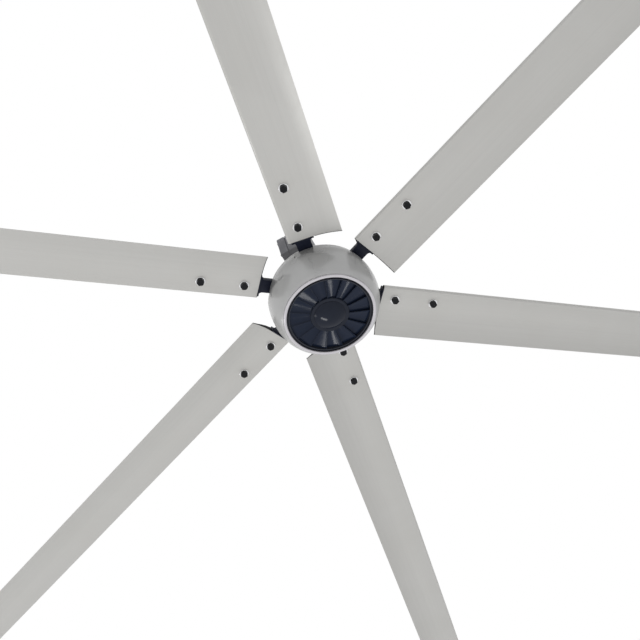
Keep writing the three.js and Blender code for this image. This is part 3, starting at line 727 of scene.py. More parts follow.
# %% Piece helpers
MERGE_REACH = 1e-7
CREASE = 32.0
EASED_FROM, EASED_CREASE = 35.0, 42.0


def on_circle(radius, angle, level):
    """A vertex from a radius and a height in millimetres and an angle round Z."""
    return (radius * math.cos(angle) * MM, radius * math.sin(angle) * MM, level * MM)


def join_rows(bm, here, there):
    """One band of faces between two closed rows of vertices."""
    for i in range(len(here)):
        j = (i + 1) % len(here)
        bm.faces.new((here[i], here[j], there[j], there[i]))


def close_mesh(name, bm, crease=CREASE):
    bmesh.ops.remove_doubles(bm, verts=bm.verts, dist=MERGE_REACH)
    bmesh.ops.recalc_face_normals(bm, faces=bm.faces)
    mesh = bpy.data.meshes.new(name)
    bm.to_mesh(mesh)
    bm.free()
    mesh.shade_smooth()
    mesh.set_sharp_from_angle(angle=math.radians(crease))
    return mesh


def put(name, mesh, place, body, material, stands_for=()):
    if not mesh.materials:
        mesh.materials.append(material)
    piece = bpy.data.objects.new(name, mesh)
    bpy.context.scene.collection.objects.link(piece)
    piece.matrix_world = place
    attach(piece, body)
    if stands_for:
        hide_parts(*stands_for)
    return piece


def combined(name, first, second, operation):
    """One mesh from two with Blender's exact boolean."""
    holders = [bpy.data.objects.new("holder", mesh) for mesh in (first, second)]
    for holder in holders:
        bpy.context.scene.collection.objects.link(holder)
    modifier = holders[0].modifiers.new("join", "BOOLEAN")
    modifier.operation = operation
    modifier.solver = "EXACT"
    modifier.object = holders[1]
    graph = bpy.context.evaluated_depsgraph_get()
    mesh = bpy.data.meshes.new_from_object(holders[0].evaluated_get(graph))
    for holder in holders:
        bpy.data.objects.remove(holder)
    mesh.name = name
    mesh.shade_smooth()
    mesh.set_sharp_from_angle(angle=math.radians(CREASE))
    return mesh


def eased(mesh, width, segments=2):
    """Rounds the corners of a mesh by a width in millimetres."""
    holder = bpy.data.objects.new("holder", mesh)
    bpy.context.scene.collection.objects.link(holder)
    modifier = holder.modifiers.new("ease", "BEVEL")
    modifier.width = width * MM
    modifier.segments = segments
    modifier.limit_method = "ANGLE"
    modifier.angle_limit = math.radians(EASED_FROM)
    graph = bpy.context.evaluated_depsgraph_get()
    rounded = bpy.data.meshes.new_from_object(holder.evaluated_get(graph))
    bpy.data.objects.remove(holder)
    rounded.shade_smooth()
    rounded.set_sharp_from_angle(angle=math.radians(EASED_CREASE))
    return rounded


# %% [markdown]
# Rounding a profile
#
# A lathe profile or a section is drawn with sharp corners first, because those are the sizes on
# the drawing. Then each corner is eased with a short curve. The helper takes points with a third
# number, the length that the rounding takes from each side.

# %% Rounded profiles


def bezier(start, handle_a, handle_b, end, steps):
    points = [Vector((*p, 0)) for p in (start, handle_a, handle_b, end)]
    return [(p.x, p.y) for p in geometry.interpolate_bezier(*points, steps)]


def rounded_loop(corners, steps=5):
    loop = []
    count = len(corners)
    for i, (x, y, ease) in enumerate(corners):
        corner = Vector((x, y))
        if ease == 0:
            loop.append((x, y))
            continue
        before = Vector(corners[i - 1][:2]) - corner
        after = Vector(corners[(i + 1) % count][:2]) - corner
        a = corner + before.normalized() * min(ease, before.length / 2)
        b = corner + after.normalized() * min(ease, after.length / 2)
        for j in range(steps + 1):
            t = j / steps
            p = a * (1 - t) ** 2 + corner * 2 * t * (1 - t) + b * t ** 2
            loop.append((p.x, p.y))
    return loop


def turned(name, loop, segments=144):
    """A closed loop of (radius, height) in millimetres, swept round Z."""
    bm = bmesh.new()
    rings = []
    for i in range(segments):
        a = 2 * math.pi * i / segments
        rings.append([bm.verts.new(on_circle(r, a, z)) for r, z in loop])
    count = len(loop)
    for i in range(segments):
        here, there = rings[i], rings[(i + 1) % segments]
        for j in range(count):
            k = (j + 1) % count
            if loop[j][0] == 0 and loop[k][0] == 0:
                continue
            bm.faces.new((here[j], there[j], there[k], here[k]))
    bmesh.ops.dissolve_degenerate(bm, dist=MERGE_REACH, edges=bm.edges)
    return close_mesh(name, bm)


def prism(name, outline, low, high):
    """A flat outline in X and Y, in millimetres, raised between two heights."""
    bm = bmesh.new()
    bottom = [bm.verts.new((x * MM, y * MM, low * MM)) for x, y in outline]
    top = [bm.verts.new((x * MM, y * MM, high * MM)) for x, y in outline]
    bm.faces.new(bottom)
    bm.faces.new(top)
    join_rows(bm, bottom, top)
    return close_mesh(name, bm)


def box_outline(width, depth, ease):
    w, d = width / 2, depth / 2
    corners = [(-w, -d, ease), (w, -d, ease), (w, d, ease), (-w, d, ease)]
    return rounded_loop(corners, steps=6)


# %% [markdown]
# The blade's section
#
# Under the bolts the lower skin is flat, so the bolt heads sit square. In front of it the nose
# turns up on a small radius. Behind it the tail curves down more and more, which throws the air
# down as the blade passes. The upper skin is two curves that meet at the highest point.

# %% Blade section
NOSE = (-32.0, 6.5, 6.5)
FLAT_REAR = 22.0
TAIL = (105.7, -22.1)
TAIL_EDGE = 1.8
CROWN = (4.0, 18.8)
NOSE_LIFT = math.radians(30)
TAIL_FALL = math.radians(27)
FRONT_SHARE, ROOF_SHARE, TAIL_SHARE = 0.36, 0.45, 0.37
RISE_STEPS, DROP_STEPS = 16, 30


def lower_skin(x):
    return TAIL[1] * (max(0.0, x - FLAT_REAR) / (TAIL[0] - FLAT_REAR)) ** 2


def upper_skin():
    centre_x, centre_y, radius = NOSE
    start = (centre_x - radius * math.sin(NOSE_LIFT), centre_y + radius * math.cos(NOSE_LIFT))
    front = FRONT_SHARE * (CROWN[0] - start[0])
    rear = TAIL[0] - CROWN[0]
    end = (TAIL[0], TAIL[1] + TAIL_EDGE)
    off_nose = (start[0] + front * math.cos(NOSE_LIFT), start[1] + front * math.sin(NOSE_LIFT))
    rise = bezier(start, off_nose, (CROWN[0] - front, CROWN[1]), CROWN, RISE_STEPS)
    to_tail = (end[0] - TAIL_SHARE * rear * math.cos(TAIL_FALL),
               end[1] + TAIL_SHARE * rear * math.sin(TAIL_FALL))
    drop = bezier(CROWN, (CROWN[0] + ROOF_SHARE * rear, CROWN[1]), to_tail, end, DROP_STEPS)
    return rise, drop


def blade_section():
    """The outline, counter-clockwise when seen with the tail to the right."""
    rise, drop = upper_skin()
    centre_x, centre_y, radius = NOSE
    tail_steps, nose_steps = 22, 12
    places = [FLAT_REAR + (TAIL[0] - FLAT_REAR) * i / tail_steps for i in range(tail_steps + 1)]
    lower = [(x, lower_skin(x)) for x in places]
    nose_start, nose_turn = 120, 150
    nose = []
    for i in range(nose_steps + 1):
        a = math.radians(nose_start + nose_turn * i / nose_steps)
        nose.append((centre_x + radius * math.cos(a), centre_y + radius * math.sin(a)))
    upper = [*reversed(drop), *reversed(rise[:-1])]
    return [*nose[1:], *lower, *upper]


def inset(loop, distance):
    """The loop moved inwards, for a small rounding at an end."""
    moved = []
    count = len(loop)
    for i in range(count):
        x0, y0 = loop[i - 1]
        x1, y1 = loop[(i + 1) % count]
        along = Vector((x1 - x0, y1 - y0)).normalized()
        moved.append((loop[i][0] - along.y * distance, loop[i][1] + along.x * distance))
    return moved


section = blade_section()
print("blade section:", len(section), "points, chord", round(TAIL[0] - NOSE[0] + NOSE[2], 1), "mm")

# %% [markdown]
# Drawing a section along the arm
#
# The section is swept along X. The two ends get a ring that is a hair smaller, so that the cut
# edge catches the light as a deburred edge does. The hollows inside the extrusion are loops of
# their own, and Blender's triangle fill closes each end around them.

# %% Sweep along the arm
END_EASE = 0.35
BLADE_SKIN = 2.2
CAVITY_FRONT, CAVITY_REAR = 23.3, 90.9
SLOT_HALF, SLOT_LOW, SLOT_HIGH = 20.3, 3.0, 15.6


def sweep(name, outline, stations, hollows=()):
    """stations are (distance along the arm, inset), hollows are loops that run the whole way."""
    bm = bmesh.new()

    def ring(loop, along):
        return [bm.verts.new((along * MM, y * MM, z * MM)) for y, z in loop]

    first, last = stations[0][0], stations[-1][0]
    runs = [[ring(inset(outline, depth), along) for along, depth in stations]]
    runs += [[ring(loop, first), ring(loop, last)] for loop in hollows]
    for rings in runs:
        for here, there in zip(rings, rings[1:]):
            join_rows(bm, here, there)
    for end in (0, -1):
        edges = []
        for rings in runs:
            loop = rings[end]
            edges += [bm.edges.get((loop[i], loop[(i + 1) % len(loop)])) for i in range(len(loop))]
        bmesh.ops.triangle_fill(bm, edges=edges, use_beauty=True)
    return close_mesh(name, bm)


def slot_outline(ease):
    """The way that is kept clear for a strut's bar, in the blade and in the hub's wall."""
    corners = [(-SLOT_HALF, SLOT_LOW, ease), (SLOT_HALF, SLOT_LOW, ease),
               (SLOT_HALF, SLOT_HIGH, ease), (-SLOT_HALF, SLOT_HIGH, ease)]
    return rounded_loop(corners, steps=3)


def blade_hollows():
    _, drop = upper_skin()
    roof = [(x, y - BLADE_SKIN) for x, y in drop if CAVITY_FRONT < x < CAVITY_REAR]
    cavity = [(x, lower_skin(x) + BLADE_SKIN) for x, _ in roof] + list(reversed(roof))
    return [slot_outline(1.0), cavity]


stations = [(BLADE_ROOT, END_EASE), (BLADE_ROOT + END_EASE, 0.0),
            (BLADE_END - END_EASE, 0.0), (BLADE_END, END_EASE)]
blade_mesh = sweep("blade", section, stations, blade_hollows())
print("blade mesh:", len(blade_mesh.polygons), "faces")

# %% [markdown]
# Bolt holes through the skin
#
# Two holes go through the lower skin into the pocket, where the strut's threaded holes wait. They
# are cut with the exact boolean, once, before the mesh is shared.

# %% Bolt holes
HOLE_RADIUS = 6.4
HOLE_SIDES = 32
CUT_LOW = -6.0
SKIN_CUT_TOP, STRUT_CUT_TOP = 3.6, 20.0


def drill(radius, low, high, x, y=0.0):
    """A round cutter that stands upright at x and y, all in millimetres."""
    profile = [(0, low), (radius, low), (radius, high), (0, high)]
    cutter = turned("hole", profile, segments=HOLE_SIDES)
    cutter.transform(Matrix.Translation((x * MM, y * MM, 0)))
    return cutter


def bolt_hole_tools(low, high):
    inner = drill(HOLE_RADIUS, low, high, INNER_BOLT)
    outer = drill(HOLE_RADIUS, low, high, OUTER_BOLT)
    return combined("holes", inner, outer, "UNION")


blade_mesh = combined("blade", blade_mesh, bolt_hole_tools(CUT_LOW, SKIN_CUT_TOP), "DIFFERENCE")
print("blade mesh with holes:", len(blade_mesh.polygons), "faces")

# %% [markdown]
# Tip caps
#
# No blade tip is in the photograph. Such blades end in a plastic cap with the same outline. Its
# outer edge is rounded in steps: each is a length back from the end and a depth that the outline
# draws in there.

# %% Tip cap
CAP_GAP, CAP_EASE = 0.3, 0.2
CAP_ROUNDING = [(0.7, 0.0), (0.35, 0.12), (0.1, 0.35), (0.0, 0.65)]
cap_stations = [(BLADE_END + CAP_GAP, CAP_EASE), (BLADE_END + 2 * CAP_GAP, 0.0)]
cap_stations += [(CAP_END - back, depth) for back, depth in CAP_ROUNDING]
cap_mesh = sweep("tip_cap", section, cap_stations)

# %% [markdown]
# Root plugs
#
# Seen from below the cut ends of the lower blades are black: the hollow section is closed with a
# dark plug on both sides of the strut's plate. Each plug is two thin plates, one at the nose and
# one behind the strut.

# %% Root plugs
PLUG_INSET = 0.5
PLUG_EDGE = 31.6
PLUG_FACE, PLUG_BACK = BLADE_ROOT - 1.6, BLADE_ROOT - 0.1
PLUG_EASE = 0.3


def root_plug_outlines():
    """The parts of the section in front of and behind the strut's plate."""
    loop = inset(section, PLUG_INSET)
    start = loop.index(max(loop))
    from_tail = loop[start:] + loop[:start]
    return [p for p in from_tail if p[0] < -PLUG_EDGE], [p for p in from_tail if p[0] > PLUG_EDGE]


nose_plug_loop, tail_plug_loop = root_plug_outlines()
plug_stations = [(PLUG_FACE, PLUG_EASE / 2), (PLUG_FACE + PLUG_EASE, 0.0), (PLUG_BACK, 0.0)]
tail_plug = sweep("tail_plug", tail_plug_loop, plug_stations)
nose_plug = sweep("nose_plug", nose_plug_loop, plug_stations)
print("plug faces:", len(tail_plug.polygons), len(nose_plug.polygons))

# %% [markdown]
# Struts
#
# A strut is a flat steel bar with one upright plate welded on, which stops the blade's root. The
# neck flares into the plate. The bar is drawn from above and raised to its thickness, the plate
# is a second block, and a union makes them one before the edges are eased.

# %% Struts
STRUT_START, STRUT_END = 93.5, 361.0
STRUT_LOW, STRUT_HIGH = 3.3, 15.3
STRUT_HALF = 20.0
STRUT_EASE = 0.7
NECK_FLARE = 9.0
PLATE_FACE, PLATE_BACK = 170.7, 174.7
PLATE_HALF, PLATE_LOW, PLATE_HIGH = 31.0, -1.5, 19.5
PLATE_EASE = 2.0


def strut_plan():
    neck = PLATE_FACE - NECK_FLARE
    inside_plate = (PLATE_FACE + PLATE_BACK) / 2
    steps = 8
    side = [(STRUT_START, STRUT_HALF), (neck, STRUT_HALF)]
    for i in range(1, steps + 1):
        a = math.radians(270 + 90 * i / steps)
        side.append((neck + NECK_FLARE * math.cos(a), STRUT_HALF + NECK_FLARE + NECK_FLARE * math.sin(a)))
    side += [(inside_plate, STRUT_HALF + NECK_FLARE), (inside_plate, STRUT_HALF), (STRUT_END, STRUT_HALF)]
    return side + [(x, -y) for x, y in reversed(side)]


strut_bar = prism("strut_bar", strut_plan(), STRUT_LOW, STRUT_HIGH)
plate_corners = [(-PLATE_HALF, PLATE_LOW, PLATE_EASE), (PLATE_HALF, PLATE_LOW, PLATE_EASE),
                 (PLATE_HALF, PLATE_HIGH, PLATE_EASE), (-PLATE_HALF, PLATE_HIGH, PLATE_EASE)]
plate_stations = [(PLATE_FACE, 0.0), (PLATE_BACK, 0.0)]
strut_plate = sweep("strut_plate", rounded_loop(plate_corners, steps=4), plate_stations)
strut_mesh = combined("strut", strut_bar, strut_plate, "UNION")
strut_mesh = combined("strut", strut_mesh, bolt_hole_tools(CUT_LOW, STRUT_CUT_TOP), "DIFFERENCE")
strut_mesh = eased(strut_mesh, STRUT_EASE)
print("strut faces:", len(strut_mesh.polygons))

# %% [markdown]
# Bolts and washers
#
# A bolt's head is a hexagon whose corners are cut back by a cone, which is what gives a real head
# its curved facets. The head is built ring by ring: the radius of a hexagon changes with the
# angle, and where it stands outside the cone the top sinks. Down is outwards here, because the
# heads hang under the blade.

# %% Bolts and washers
HEAD_SEAT = -3.1
HEAD_HEIGHT = 7.5
ACROSS_FLATS = 18.0
HEAD_SLOPE = math.radians(30)
HEAD_EASE = 0.7
SEAT_RADIUS, SEAT_STEP = 8.6, 0.3
SHANK_RADIUS, SHANK_LENGTH = 5.9, 17.0
TIP_RADIUS, TIP_LENGTH = 5.2, 0.8
DISH_RIM, DISH_SLOPE_END, DISH_DEPTH, DISH_MIDDLE = 0.9, 1.3, 0.35, 1.2
SMALL_HEAD_GAP = 0.2
WASHER_RADIUS = 13.0
WASHER_LOW, WASHER_TOP = -2.8, -0.3


def hexagon_radius(angle):
    sector = math.pi / 3
    return ACROSS_FLATS / 2 / math.cos((angle + sector / 2) % sector - sector / 2)


def bolt_mesh():
    bm = bmesh.new()
    count = 72
    face = ACROSS_FLATS / 2 - HEAD_EASE
    tip = HEAD_SEAT + SHANK_LENGTH
    low = HEAD_SEAT - HEAD_HEIGHT
    rings = []

    def ring(radius_of, height_of):
        row = []
        for i in range(count):
            a = 2 * math.pi * i / count
            r = radius_of(a)
            row.append(bm.verts.new(on_circle(r, a, height_of(r))))
        rings.append(row)

    def round_ring(radius, level):
        ring(lambda a: radius, lambda r: level)

    round_ring(TIP_RADIUS, tip)
    round_ring(SHANK_RADIUS, tip - TIP_LENGTH)
    round_ring(SHANK_RADIUS, HEAD_SEAT)
    round_ring(SEAT_RADIUS, HEAD_SEAT)
    ring(hexagon_radius, lambda r: HEAD_SEAT - SEAT_STEP)
    ring(hexagon_radius, lambda r: low + max(0.0, r - face) * math.tan(HEAD_SLOPE))
    round_ring(face, low)
    round_ring(face - DISH_RIM, low)
    round_ring(face - DISH_SLOPE_END, low + DISH_DEPTH)
    round_ring(DISH_MIDDLE, low + DISH_DEPTH)
    for here, there in zip(rings, rings[1:]):
        join_rows(bm, here, there)
    bm.faces.new(rings[0])
    bm.faces.new(rings[-1])
    return close_mesh("bolt", bm, crease=24.0)


def washer_mesh():
    corners = [(HOLE_RADIUS, WASHER_LOW, 0.3), (WASHER_RADIUS, WASHER_LOW, 0.7),
               (WASHER_RADIUS, WASHER_TOP, 0.4), (HOLE_RADIUS, WASHER_TOP, 0.3)]
    return turned("washer", rounded_loop(corners, steps=4), segments=72)


bolt = bolt_mesh()
washer = washer_mesh()
print("bolt faces:", len(bolt.polygons), "washer faces:", len(washer.polygons))

# %% [markdown]
# Six arms
#
# Everything on an arm is placed with the arm's own matrix, so one set of meshes serves all six.
# Bolts end up turned any way when they are tightened, so each is spun by an angle of its own.

# %% Place the arms
SPIN_STEP = 17
for number in range(1, ARM_COUNT + 1):
    place = arm_place(number)
    put(f"dressed_blade_{number}", blade_mesh, place, "rotor", blade_aluminium,
        [f"blade_{number}"])
    put(f"dressed_tip_cap_{number}", cap_mesh, place, "rotor", cap_plastic,
        [f"tip_cap_{number}"])
    put(f"dressed_strut_{number}", strut_mesh, place, "rotor", strut_black,
        [f"strut_{number}"])
    put(f"tail_plug_{number}", tail_plug, place, "rotor", plug_rubber)
    put(f"nose_plug_{number}", nose_plug, place, "rotor", plug_rubber)
    for which, radius in (("inner", INNER_BOLT), ("outer", OUTER_BOLT)):
        spin = Matrix.Rotation(math.radians(SPIN_STEP * number + radius), 4, "Z")
        spot = place @ Matrix.Translation((radius * MM, 0, 0)) @ spin
        put(f"dressed_{which}_bolt_{number}", bolt, spot, "rotor", bolt_black,
            [f"{which}_bolt_{number}"])
        put(f"dressed_{which}_washer_{number}", washer, spot, "rotor", washer_zinc,
            [f"{which}_washer_{number}"])
print("arm pieces placed")

# %% [markdown]
# The cowl's curve
#
# The silver bell below the struts widens from its lip in one smooth curve, stands upright, and
# draws in a little at the top. A Bezier curve holds the lower part, and a small search turns a
# height into a radius, because the pockets under the struts are set out by height.

# %% Cowl curve
LIP = -114.0
CROWN_LEVEL = -24.0
COWL_TOP = -1.0
COWL_WALL = 2.5
COWL_DRAW = 5.0
COWL_START, COWL_END = (124.7, LIP), (150.0, CROWN_LEVEL)
COWL_HANDLES = ((142.4, -100.05), (150.0, -61.35))
SEARCH_STEPS = 30


def cowl_point(t):
    a, b, c, d = (Vector(p) for p in (COWL_START, *COWL_HANDLES, COWL_END))
    s = 1 - t
    return a * s ** 3 + b * 3 * s * s * t + c * 3 * s * t * t + d * t ** 3


def cowl_radius(level):
    if level > CROWN_LEVEL:
        return COWL_END[0] - COWL_DRAW * ((level - CROWN_LEVEL) / (COWL_TOP - CROWN_LEVEL)) ** 2
    low, high = 0.0, 1.0
    for _ in range(SEARCH_STEPS):
        middle_t = (low + high) / 2
        if cowl_point(middle_t).y < level:
            low = middle_t
        else:
            high = middle_t
    return cowl_point(low).x


print("cowl radius at lip, middle, top:", [round(cowl_radius(z), 1) for z in (LIP, -70, COWL_TOP)])

# %% [markdown]
# Pockets under the struts
#
# Each strut leaves the hub over a shallow pocket. The pocket starts with a sharp wall on one side
# of the strut, lies under it, and runs out flush on the other side. Its lower edge is an arch that
# falls away more and more. Two functions of the angle from the strut, in degrees, say how low the
# pocket reaches and how far its floor has risen back to the surface.

# %% Pocket shape
POCKET_START, POCKET_END = -13.0, 34.0
POCKET_FLOOR = 143.8
ARCH_START, ARCH_FALL, ARCH_POWER = -8.0, 51.0, 1.5
RISE_START = 2.0


def pocket_edge(angle):
    if angle > POCKET_END:
        back = (angle - POCKET_END) / (POCKET_START + 360 / ARM_COUNT - POCKET_END)
        return pocket_edge(POCKET_END) * (1 - back) + CROWN_LEVEL * back
    along = max(0.0, (angle - ARCH_START) / (POCKET_END - ARCH_START))
    return CROWN_LEVEL - ARCH_FALL * along ** ARCH_POWER


def pocket_rise(angle):
    share = min(1.0, max(0.0, (angle - RISE_START) / (POCKET_END - RISE_START)))
    return share * share * (3 - 2 * share)


print("pocket edge at the strut and at its end:", pocket_edge(0.0), pocket_edge(POCKET_END))

# %% [markdown]
# The cowl
#
# Each column of the mesh is one closed loop: up the outside to the pocket's edge, in over a small
# rounded step, up the pocket's floor, and down the inside. Between two pockets the floor is the
# surface itself, so the step has no depth there and the bell runs on to its top.

# %% Cowl
STEP_ROUNDING, STEP_EASE, STEP_GAP = 0.9, 0.3, 0.4
COWL_TOP_EASE = 1.0
COWL_FLANGE = 3.0
COWL_OPENING = 115.7
COWL_INSIDE = 141.3
OUTSIDE_STEPS, FLOOR_STEPS, INSIDE_STEPS = 26, 10, 12
COLUMNS_PER_ARM = 60


def cowl_column(angle):
    edge = pocket_edge(angle)
    rise = pocket_rise(angle)

    def floor(level):
        return POCKET_FLOOR + (max(POCKET_FLOOR, cowl_radius(level)) - POCKET_FLOOR) * rise

    step = cowl_radius(edge) - floor(edge)
    round_off = min(STEP_ROUNDING, step / 2)
    loop = []
    for i in range(OUTSIDE_STEPS + 1):
        level = LIP + (edge - STEP_ROUNDING - LIP) * i / OUTSIDE_STEPS
        loop.append((cowl_radius(level), level))
    loop.append((cowl_radius(edge) - round_off * STEP_EASE, edge - STEP_EASE))
    loop.append((cowl_radius(edge) - round_off, edge))
    for i in range(FLOOR_STEPS + 1):
        level = edge + STEP_GAP + (COWL_TOP - edge - (STEP_GAP + COWL_TOP_EASE)) * i / FLOOR_STEPS
        loop.append((floor(level), level))
    loop.append((floor(COWL_TOP) - STEP_EASE, COWL_TOP - STEP_EASE))
    loop.append((floor(COWL_TOP) - COWL_TOP_EASE, COWL_TOP))
    for i in range(INSIDE_STEPS + 1):
        level = COWL_TOP + (LIP + COWL_FLANGE - COWL_TOP) * i / INSIDE_STEPS
        loop.append((min(COWL_INSIDE, cowl_radius(level) - COWL_WALL), level))
    return loop + [(COWL_OPENING, LIP + COWL_FLANGE), (COWL_OPENING, LIP)]


def cowl_mesh():
    columns = ARM_COUNT * COLUMNS_PER_ARM
    sector = 360 / ARM_COUNT
    bm = bmesh.new()
    rows = []
    for c in range(columns):
        degrees = 360 * c / columns
        a = math.radians(degrees)
        loop = cowl_column((degrees - POCKET_START) % sector + POCKET_START)
        rows.append([bm.verts.new(on_circle(r, a, z)) for r, z in loop])
    count = len(rows[0])
    for c in range(columns):
        here, there = rows[c], rows[(c + 1) % columns]
        for j in range(count):
            k = (j + 1) % count
            bm.faces.new((here[j], there[j], there[k], here[k]))
    return close_mesh("cowl", bm, crease=40.0)


cowl = cowl_mesh()
put("dressed_hub_cowl", cowl, rotor_place, "rotor", cowl_silver, ["hub_cowl"])
print("cowl faces:", len(cowl.polygons))

# %% [markdown]
# Hub casting
#
# The drum behind the cowl is cast and turned. Six windows let the struts through its wall. The
# profile is one closed loop, and the windows are cut with blocks that lie exactly where the
# struts do, a hair larger. From the inside out there are the shaft's hole, the seat and boss of
# the lower bearing, the motor's room, the drum's wall, and the skirt inside the cowl.

# %% Hub casting
SHAFT_HOLE, BEARING_SEAT, BEARING_BOSS = 22.0, 31.3, 38.3
MOTOR_ROOM, DRUM_OUTSIDE = 91.5, 98.0
SKIRT_INSIDE, SKIRT_OUTSIDE = 136.8, 140.8
SHELL, SHELL_WALL = 143.5, 4.0
SHOULDER, SHELL_MOUTH = 141.8, 136.5
DRUM_LOW, SEAT_LEVEL, DRUM_FLOOR, BOSS_TOP = -91.0, -86.3, -83.0, -70.0
SKIRT_LOW, SKIRT_TOP = -68.0, -1.0
DECK_LOW, SHELL_LOW, DECK_TOP = -8.65, -0.7, 1.95
SHOULDER_LEVEL, SHELL_TOP = 12.0, 21.0
WINDOW_FROM, WINDOW_TO = 129.0, 150.0


def casting_mesh():
    corners = [
        (SHAFT_HOLE, DRUM_LOW, 0), (DRUM_OUTSIDE, DRUM_LOW, 2), (DRUM_OUTSIDE, DECK_LOW, 2),
        (SKIRT_INSIDE, DECK_LOW, 2), (SKIRT_INSIDE, SKIRT_LOW, 1), (SKIRT_OUTSIDE, SKIRT_LOW, 1),
        (SKIRT_OUTSIDE, SKIRT_TOP, 0), (SHELL, SHELL_LOW, 0.3), (SHELL, DECK_TOP, 1),
        (SHOULDER, SHOULDER_LEVEL, 5), (SHELL_MOUTH, SHELL_TOP, 0.6),
        (SHELL_MOUTH - SHELL_WALL, SHELL_TOP, 0.6), (SHOULDER - SHELL_WALL, SHOULDER_LEVEL, 3),
        (SHELL - SHELL_WALL, DECK_TOP, 2), (MOTOR_ROOM, DECK_TOP, 1), (MOTOR_ROOM, DRUM_FLOOR, 1),
        (BEARING_BOSS, DRUM_FLOOR, 1), (BEARING_BOSS, BOSS_TOP, 1), (BEARING_SEAT, BOSS_TOP, 1),
        (BEARING_SEAT, SEAT_LEVEL, 0), (SHAFT_HOLE, SEAT_LEVEL, 0),
    ]
    drum = turned("drum", rounded_loop(corners, steps=4))
    for k in range(ARM_COUNT):
        window = sweep("window", slot_outline(1.5), [(WINDOW_FROM, 0.0), (WINDOW_TO, 0.0)])
        turn = Matrix.Rotation(k * 2 * math.pi / ARM_COUNT, 4, "Z")
        window.transform(turn @ Matrix.Rotation(-PITCH, 4, "X"))
        drum = combined("hub_casting", drum, window, "DIFFERENCE")
    return drum


casting = casting_mesh()
put("dressed_hub_casting", casting, rotor_place, "rotor", hub_silver, ["hub_casting"])
print("casting faces:", len(casting.polygons))

# %% [markdown]
# Hub top cover
#
# The lid closes the drum above and carries the upper bearing. It is not in the photograph. A
# shallow dome with a raised neck is the usual form.

# %% Hub top cover
LID_RIM, LID_RIM_EDGE, LID_TOP = 21.3, 4.5, 42.8
LID_CORNER, LID_SHOULDER, LID_SLOPE = 134.25, 124.9, 90.25
LID_SHOULDER_LEVEL, LID_SLOPE_LEVEL = 31.5, 40.0
LID_NECK, LID_HOLE, LID_SEAT = 44.0, 25.0, 36.3
LID_SEAT_LOW, LID_SEAT_TOP = 21.5, 38.1
LID_WALL = 4.0


def top_cover_mesh():
    corners = [
        (SHELL_MOUTH, LID_RIM, 0.4), (LID_CORNER, LID_RIM + LID_RIM_EDGE, 1.5),
        (LID_SHOULDER, LID_SHOULDER_LEVEL, 6), (LID_SLOPE, LID_SLOPE_LEVEL, 12),
        (LID_NECK, LID_TOP, 3), (LID_HOLE, LID_TOP, 0.8), (LID_HOLE, LID_SEAT_TOP, 0),
        (LID_SEAT, LID_SEAT_TOP, 0), (LID_SEAT, LID_SEAT_LOW, 0.5), (LID_NECK, LID_SEAT_LOW, 1),
        (LID_NECK, LID_TOP - LID_WALL, 2), (LID_SLOPE, LID_SLOPE_LEVEL - LID_WALL, 10),
        (LID_SHOULDER, LID_RIM, 1),
    ]
    return turned("hub_top_cover", rounded_loop(corners, steps=6))


top_cover = top_cover_mesh()
put("dressed_hub_top_cover", top_cover, rotor_place, "rotor", lid_silver, ["hub_top_cover"])

# %% [markdown]
# Trim ring
#
# A bright ring closes the cowl's opening. Its lower face is almost a half round and a little
# narrower than the cowl's lip. That draws the thin light line round the grille, with a fine dark
# seam outside it.

# %% Trim ring
TRIM_TOP, TRIM_LOW = LIP - 0.3, LIP - 5.55
TRIM_INSIDE, TRIM_OUTSIDE = 115.3, 123.2
TRIM_ROUNDING, TRIM_EASE = 3.6, 0.3
trim_corners = [
    (TRIM_INSIDE, TRIM_TOP, TRIM_EASE), (TRIM_INSIDE, TRIM_LOW, TRIM_ROUNDING),
    (TRIM_OUTSIDE, TRIM_LOW, TRIM_ROUNDING), (TRIM_OUTSIDE, TRIM_TOP, TRIM_EASE),
]
trim = turned("trim_ring", rounded_loop(trim_corners, steps=8), segments=192)
put("dressed_trim_ring", trim, rotor_place, "rotor", trim_satin, ["trim_ring"])

# %% [markdown]
# Turbine grille
#
# Fifteen vanes stand between the hub and the outer ring like the blades of a small turbine. Each
# is a thin curved sheet: its lower edge lies at the opening, and it sweeps round and up behind
# the next one, bowed so that it shows light in a streak. The lower edge is curled down a little
# more, which draws a fine line from hub to ring. Towards the hub its rise, bow and curl are
# flatter. Sheet, edge and thickness come from one closed loop per station along the radius.

# %% Grille vanes
VANES = 15
VANE_START = math.radians(10)
VANE_SWEEP = math.radians(29)
VANE_LOW = TRIM_LOW + 5.0
VANE_RISE = 5.0
VANE_THICKNESS = 1.6
VANE_BOW = 3.2
VANE_CURL, CURL_SHARE = 2.2, 0.1
VANE_ROOT, VANE_REACH = 51.6, 108.9
ROOT_FULLNESS = 0.75
STATION_POWER = 1.5
NOSE_SHARES = [(0.8, 0.45), (1.1, 1.0), (0.8, 1.55)]


def vane_loop(radius):
    steps = 20
    below, above = [], []
    fullness = ROOT_FULLNESS + (1 - ROOT_FULLNESS) * (radius - VANE_ROOT) / (VANE_REACH - VANE_ROOT)
    for i in range(steps + 1):
        share = (i / steps) ** STATION_POWER
        angle = VANE_SWEEP * share
        curl = VANE_CURL * (1 - max(0.0, 1 - share / CURL_SHARE) ** 2)
        lift = curl + VANE_RISE * share + VANE_BOW * math.sin(math.pi * share)
        z = VANE_LOW + lift * fullness
        below.append((angle, z))
        above.append((angle, z + VANE_THICKNESS))
    half = VANE_THICKNESS / 2
    nose = [(-half * out / radius, VANE_LOW + half * up) for out, up in NOSE_SHARES]
    return [*below, *reversed(above), *reversed(nose)]


